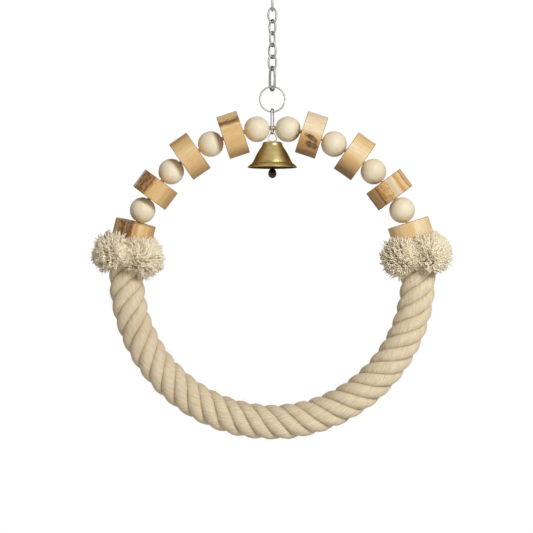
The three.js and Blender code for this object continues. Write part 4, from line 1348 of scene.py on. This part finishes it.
class MakeBell(bpy.types.Operator):
    """Makes the bell, its loop and its clapper"""

    bl_idname = "ring_swing.make_bell"
    bl_label = "Make bell"

    SEGMENTS = 128

    # The bell's section: drop of its waist, height of its lip, fullness of its flank and rounding of its crown
    WAIST_DROP = 2.4 * MM
    LIP_HEIGHT = 2.5 * MM
    FLANK_FULLNESS = 0.3 * MM
    CROWN_ROUNDING = 1.5 * MM

    # The outer half of the loop from its top down, as shares of its half width and of its height
    LOOP_OUTLINE = ((0.33, 0.94), (0.52, 0.78), (0.73, 0.6), (0.92, 0.45), (1.0, 0.3), (0.8, 0.17))

    def execute(self, context):
        pivot = Vector(JOINTS["clapper_swing"]["pos_m"])
        bob_centre = middle("clapper_bob")
        crown_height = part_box("bell_shell")[1].z
        crown = Matrix.Translation((0, 0, crown_height))
        outline, inside = self.outline()
        # Marks the inside of the bell for its painted shade
        marks = {"inside": np.tile(inside, self.SEGMENTS)}
        shell = shaped("spun_bell", lathe(outline, self.SEGMENTS), crown, marks, sharp_above=38)
        settle(shell, "bell", "bell_brass", "bell_shell", material=bell_brass())
        loop = shaped("bent_bell_loop", loft(self.loop_rings(pivot.z - crown_height), closed=True), crown)
        settle(loop, "bell", "chain_steel", "bell_loop", material=steel("loop"))
        hanging = Matrix.Translation(pivot) @ quarter_turn("Z")
        wire = shaped("bent_clapper_wire", loft(self.clapper_rings(pivot.z - bob_centre.z)), hanging)
        settle(wire, "clapper", "clapper_iron", "clapper_wire", material=steel("clapper"))
        bob = shaped("cast_bob", self.bob(), Matrix.Translation(bob_centre))
        settle(bob, "clapper", "clapper_iron", "clapper_bob", material=steel("clapper"))
        return {"FINISHED"}

    def outline(self):
        """The bell's section, heights from the top of its crown, and a one for each point that lies inside."""
        sizes = settings().sizes
        ridge, hole, inset, rim_edge, lip_edge = 0.45 * MM, 1.15 * MM, 0.2 * MM, 0.28 * MM, 0.55 * MM
        rounding = self.CROWN_ROUNDING
        crown, skirt, rim = sizes.bell_crown / 2 - rounding, sizes.bell_skirt / 2, sizes.bell_rim / 2
        wall, bottom, waist = sizes.bell_wall, -sizes.bell_height, sizes.bell_waist / 2
        lip_top, lip = self.LIP_HEIGHT + bottom, skirt + ridge
        lip_drop = bottom + lip_edge - lip_top
        outer = [(rim - wall * 0.8, bottom), (rim - inset, bottom)]
        outer += arc((rim - inset, bottom + rim_edge), rim_edge, -70, 60, 5)
        outer += [(lip + (rim - lip) * s, lip_top + lip_drop * s ** 1.25) for s in np.linspace(0.92, 0.06, 9)]
        outer += arc((skirt, lip_top + ridge * 0.75), ridge, -60, 90, 6)
        outer += reversed(self.flank(waist, skirt, lip_top + ridge * 2))
        outer += arc((crown, -rounding), rounding, 0, 90, 8) + [(hole, 0)]
        inner = [(hole, -wall), (crown, -wall)] + self.flank(waist - wall, skirt - wall, lip_top + ridge)
        inner += [(skirt - wall * 0.5, lip_top - inset)]
        return outer + inner, [1.0] + [0.0] * (len(outer) - 1) + [1.0] * len(inner)

    def flank(self, waist, skirt, bottom):
        """A slightly full curve from the waist down to the lip."""
        top, full = -self.WAIST_DROP, self.FLANK_FULLNESS
        return [
            (waist + (skirt - waist) * s + full * math.sin(math.pi * s), top + (bottom - top) * s)
            for s in np.linspace(0, 1, 15)
        ]

    def loop_rings(self, eye_bottom):
        sizes = settings().sizes
        wire, neck, neck_depth, eye = sizes.bell_loop_wire / 2, 0.55 * MM, 0.9 * MM, 0.95 * MM
        wide, top = sizes.bell_loop_width / 2 - wire, sizes.bell_loop_height - wire
        half = [(wide * across, top * up) for across, up in self.LOOP_OUTLINE]
        half += [(neck * 1.5, top * 0.11), (neck, -neck_depth), (eye, eye_bottom + eye)]
        half += [(eye * 0.72, eye_bottom + eye * 0.28)]
        points = [(0, top)] + half + [(0, eye_bottom)] + [(-x, z) for x, z in reversed(half)]
        return wire_rings(smooth_route(points, 8, closed=True), wire, 16, closed=True)

    def clapper_rings(self, drop):
        wire, play = 0.3 * MM, 0.3 * MM
        eye = settings().sizes.bell_loop_wire / 2 + wire + play
        tail = [(0, -eye * 2.2), (0, -eye * 3), (0, -drop * 0.6), (0, -drop)]
        return wire_rings(smooth_route(arc((0, 0), eye, -45, 225, 9) + tail, 8), wire, 14)

    def bob(self):
        """A ball drawn up into a short neck, hollow at its top for the wire."""
        growth, bore, seat, point, drawn_up = 0.15 * MM, 0.6 * MM, -0.3 * MM, 0.02 * MM, 1.4
        radius = settings().sizes.clapper_bob / 2 + growth
        top = math.degrees(math.acos(bore / radius))
        lower = arc((0, 0), radius, -89.4, 0, 14)
        upper = [(r, z * drawn_up) for r, z in arc((0, 0), radius, 0, top, 14)[1:]]
        return lathe(lower + upper + [(bore, seat), (point, seat)], 48)


class MakeStage(bpy.types.Operator):
    """Makes the floor, the lamps, the surroundings and the camera"""

    bl_idname = "ring_swing.make_stage"
    bl_label = "Make stage"

    # Distance of the camera from the hoop, width of the photo there and its middle from the hoop's, in metres,
    # and the sensor's width in millimetres
    CAMERA_DISTANCE = 1.0
    PHOTO_WIDTH = 0.3008
    PHOTO_CENTRE = (-3.3 * MM, 5.6 * MM)
    SENSOR = 36.0

    # Lamps: direction from the hoop's centre, distance, width and power
    LAMPS = {
        "key_softbox": ((0.425, -0.795, 0.425), 1.3, 0.45, 12.4),
        "fill_softbox": ((-0.75, -0.55, 0.2), 1.4, 0.7, 1.3),
    }
    ROOM_COLOUR = (1.0, 0.86, 0.66, 1.0)
    ROOM_STRENGTH = 0.19
    WHITE = (1.0, 1.0, 1.0, 1.0)

    # The floor: how far below the swing, the radii of its rings, their sides, and where it turns to plain white
    FLOOR_DROP = 0.16
    FLOOR_RINGS = (0.2, 0.4, 0.7, 1.2, 2.0, 4.0)
    FLOOR_SIDES = 96
    FLOOR_WHITE = (0.16, 0.42)
    FLOOR_MOTTLE = (0.8, 0.8, 0.8, 1.0)

    def execute(self, context):
        scene = context.scene
        scene.view_settings.view_transform = "Standard"
        camera = bpy.data.cameras.new("photo_camera")
        camera.sensor_width = self.SENSOR
        camera.lens = self.SENSOR * self.CAMERA_DISTANCE / self.PHOTO_WIDTH
        camera.clip_start = 0.01
        scene.camera = linked(bpy.data.objects.new("photo_camera", camera))
        right, up = self.PHOTO_CENTRE
        scene.camera.location = (right, -self.CAMERA_DISTANCE, hoop_centre().z + up)
        scene.camera.rotation_euler = (math.pi / 2, 0, 0)
        for name, values in self.LAMPS.items():
            self.lamp(name, *values)
        self.floor(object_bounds()[0].z - self.FLOOR_DROP)
        self.surroundings()
        return {"FINISHED"}

    def lamp(self, name, direction, distance, width, power):
        lamp = bpy.data.lights.new(name, "AREA")
        lamp.shape = "DISK"
        lamp.size = width
        lamp.energy = power
        holder = linked(bpy.data.objects.new(name, lamp))
        aim = Vector(direction).normalized()
        holder.location = hoop_centre() + aim * distance
        holder.rotation_euler = aim.to_track_quat("Z", "Y").to_euler()

    def floor(self, height):
        turns = np.linspace(0, math.tau, self.FLOOR_SIDES, endpoint=False)
        rings = [[(r * math.cos(a), r * math.sin(a), height) for a in turns] for r in self.FLOOR_RINGS]
        corners, faces = loft(rings, capped=False)
        faces = [tuple(reversed(face)) for face in faces] + [tuple(range(self.FLOOR_SIDES))]
        floor = shaped("studio_floor", (corners, faces))
        floor.data.materials.append(self.floor_finish())
        floor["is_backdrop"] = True

    def floor_finish(self):
        """Pale and matt near the object, where its shadow falls, and plain white to the camera further out."""
        nodes, coat = new_finish("Studio floor", Roughness=0.9)
        mottle = nodes.noise(nodes.place(), 3.0, 2.0) * 0.05
        x, y, _ = nodes.split(nodes.place())
        away = nodes.fade(nodes.hypotenuse(x, y), *self.FLOOR_WHITE)
        from_camera, mirrored = self.rays(nodes)
        lit = Output(nodes, nodes.tree.nodes["Principled BSDF"].outputs[0])
        white = nodes.add("ShaderNodeEmission", {"Color": self.WHITE, "Strength": 1.0})
        mixed = nodes.add("ShaderNodeMixShader", {0: away * nodes.max(from_camera, mirrored), 1: lit, 2: white})
        nodes.put(nodes.tree.nodes["Material Output"].inputs["Surface"], mixed)
        return coat(Base_Color=nodes.tint(mottle, "floor", self.FLOOR_MOTTLE))

    def rays(self, nodes):
        """One for a ray from the camera, and one for a ray from metal or glass."""
        path = nodes.outputs("ShaderNodeLightPath")
        return path["Is Camera Ray"], nodes.max(path["Is Glossy Ray"], path["Is Transmission Ray"])

    def surroundings(self):
        """White to the camera, a white sweep behind for metal to show, and a dim room that lights the swing."""
        world = bpy.context.scene.world or bpy.data.worlds.new("studio")
        bpy.context.scene.world = world
        world.use_nodes = True
        nodes = Nodes(world.node_tree)
        nodes.tree.nodes.clear()
        from_camera, mirrored = self.rays(nodes)
        _, y, z = nodes.split(nodes.add("ShaderNodeTexCoord", output="Generated"))
        sweep = nodes.max(nodes.fade(y, 0.1, 0.7), nodes.fade(z, 0.3, 0.9))
        room = nodes.add("ShaderNodeBackground", {"Color": self.ROOM_COLOUR, "Strength": self.ROOM_STRENGTH})
        plain = nodes.add("ShaderNodeBackground", {"Color": self.WHITE, "Strength": 1.0})
        white = nodes.max(from_camera, mirrored * sweep)
        mixed = nodes.add("ShaderNodeMixShader", {0: white, 1: room, 2: plain})
        nodes.node("ShaderNodeOutputWorld", {"Surface": mixed})


PIECE_MAKERS = (
    MakeQuickLink, MakeChain, MakeSplitRing, MakeHoopWire, MakeBeads, MakeBlocks, MakeRope, MakeCollars,
    MakeBell, MakeStage,
)


class RingSwingPanel(bpy.types.Panel):
    """Lists the makers of the swing's pieces"""

    bl_idname = "VIEW3D_PT_ring_swing"
    bl_label = "Ring swing"
    bl_space_type = "VIEW_3D"
    bl_region_type = "UI"
    bl_category = "Ring swing"

    def draw(self, context):
        for maker in PIECE_MAKERS:
            self.layout.operator(maker.bl_idname)


CLASSES = (RingSwingSizes, RingSwingColours, RingSwingSettings, *PIECE_MAKERS, RingSwingPanel)


def register():
    for cls in CLASSES:
        bpy.utils.register_class(cls)
    bpy.types.Scene.ring_swing = bpy.props.PointerProperty(type=RingSwingSettings)


def unregister():
    del bpy.types.Scene.ring_swing
    for cls in reversed(CLASSES):
        bpy.utils.unregister_class(cls)


def main():
    register()
    for maker in PIECE_MAKERS:
        category, name = maker.bl_idname.split(".")
        getattr(getattr(bpy.ops, category), name)()
    boxes = {"cad": CAD_BOX, "visual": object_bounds()}
    {name: [list(corner) for corner in box] for name, box in boxes.items()}


if __name__ == "__main__":
    main()
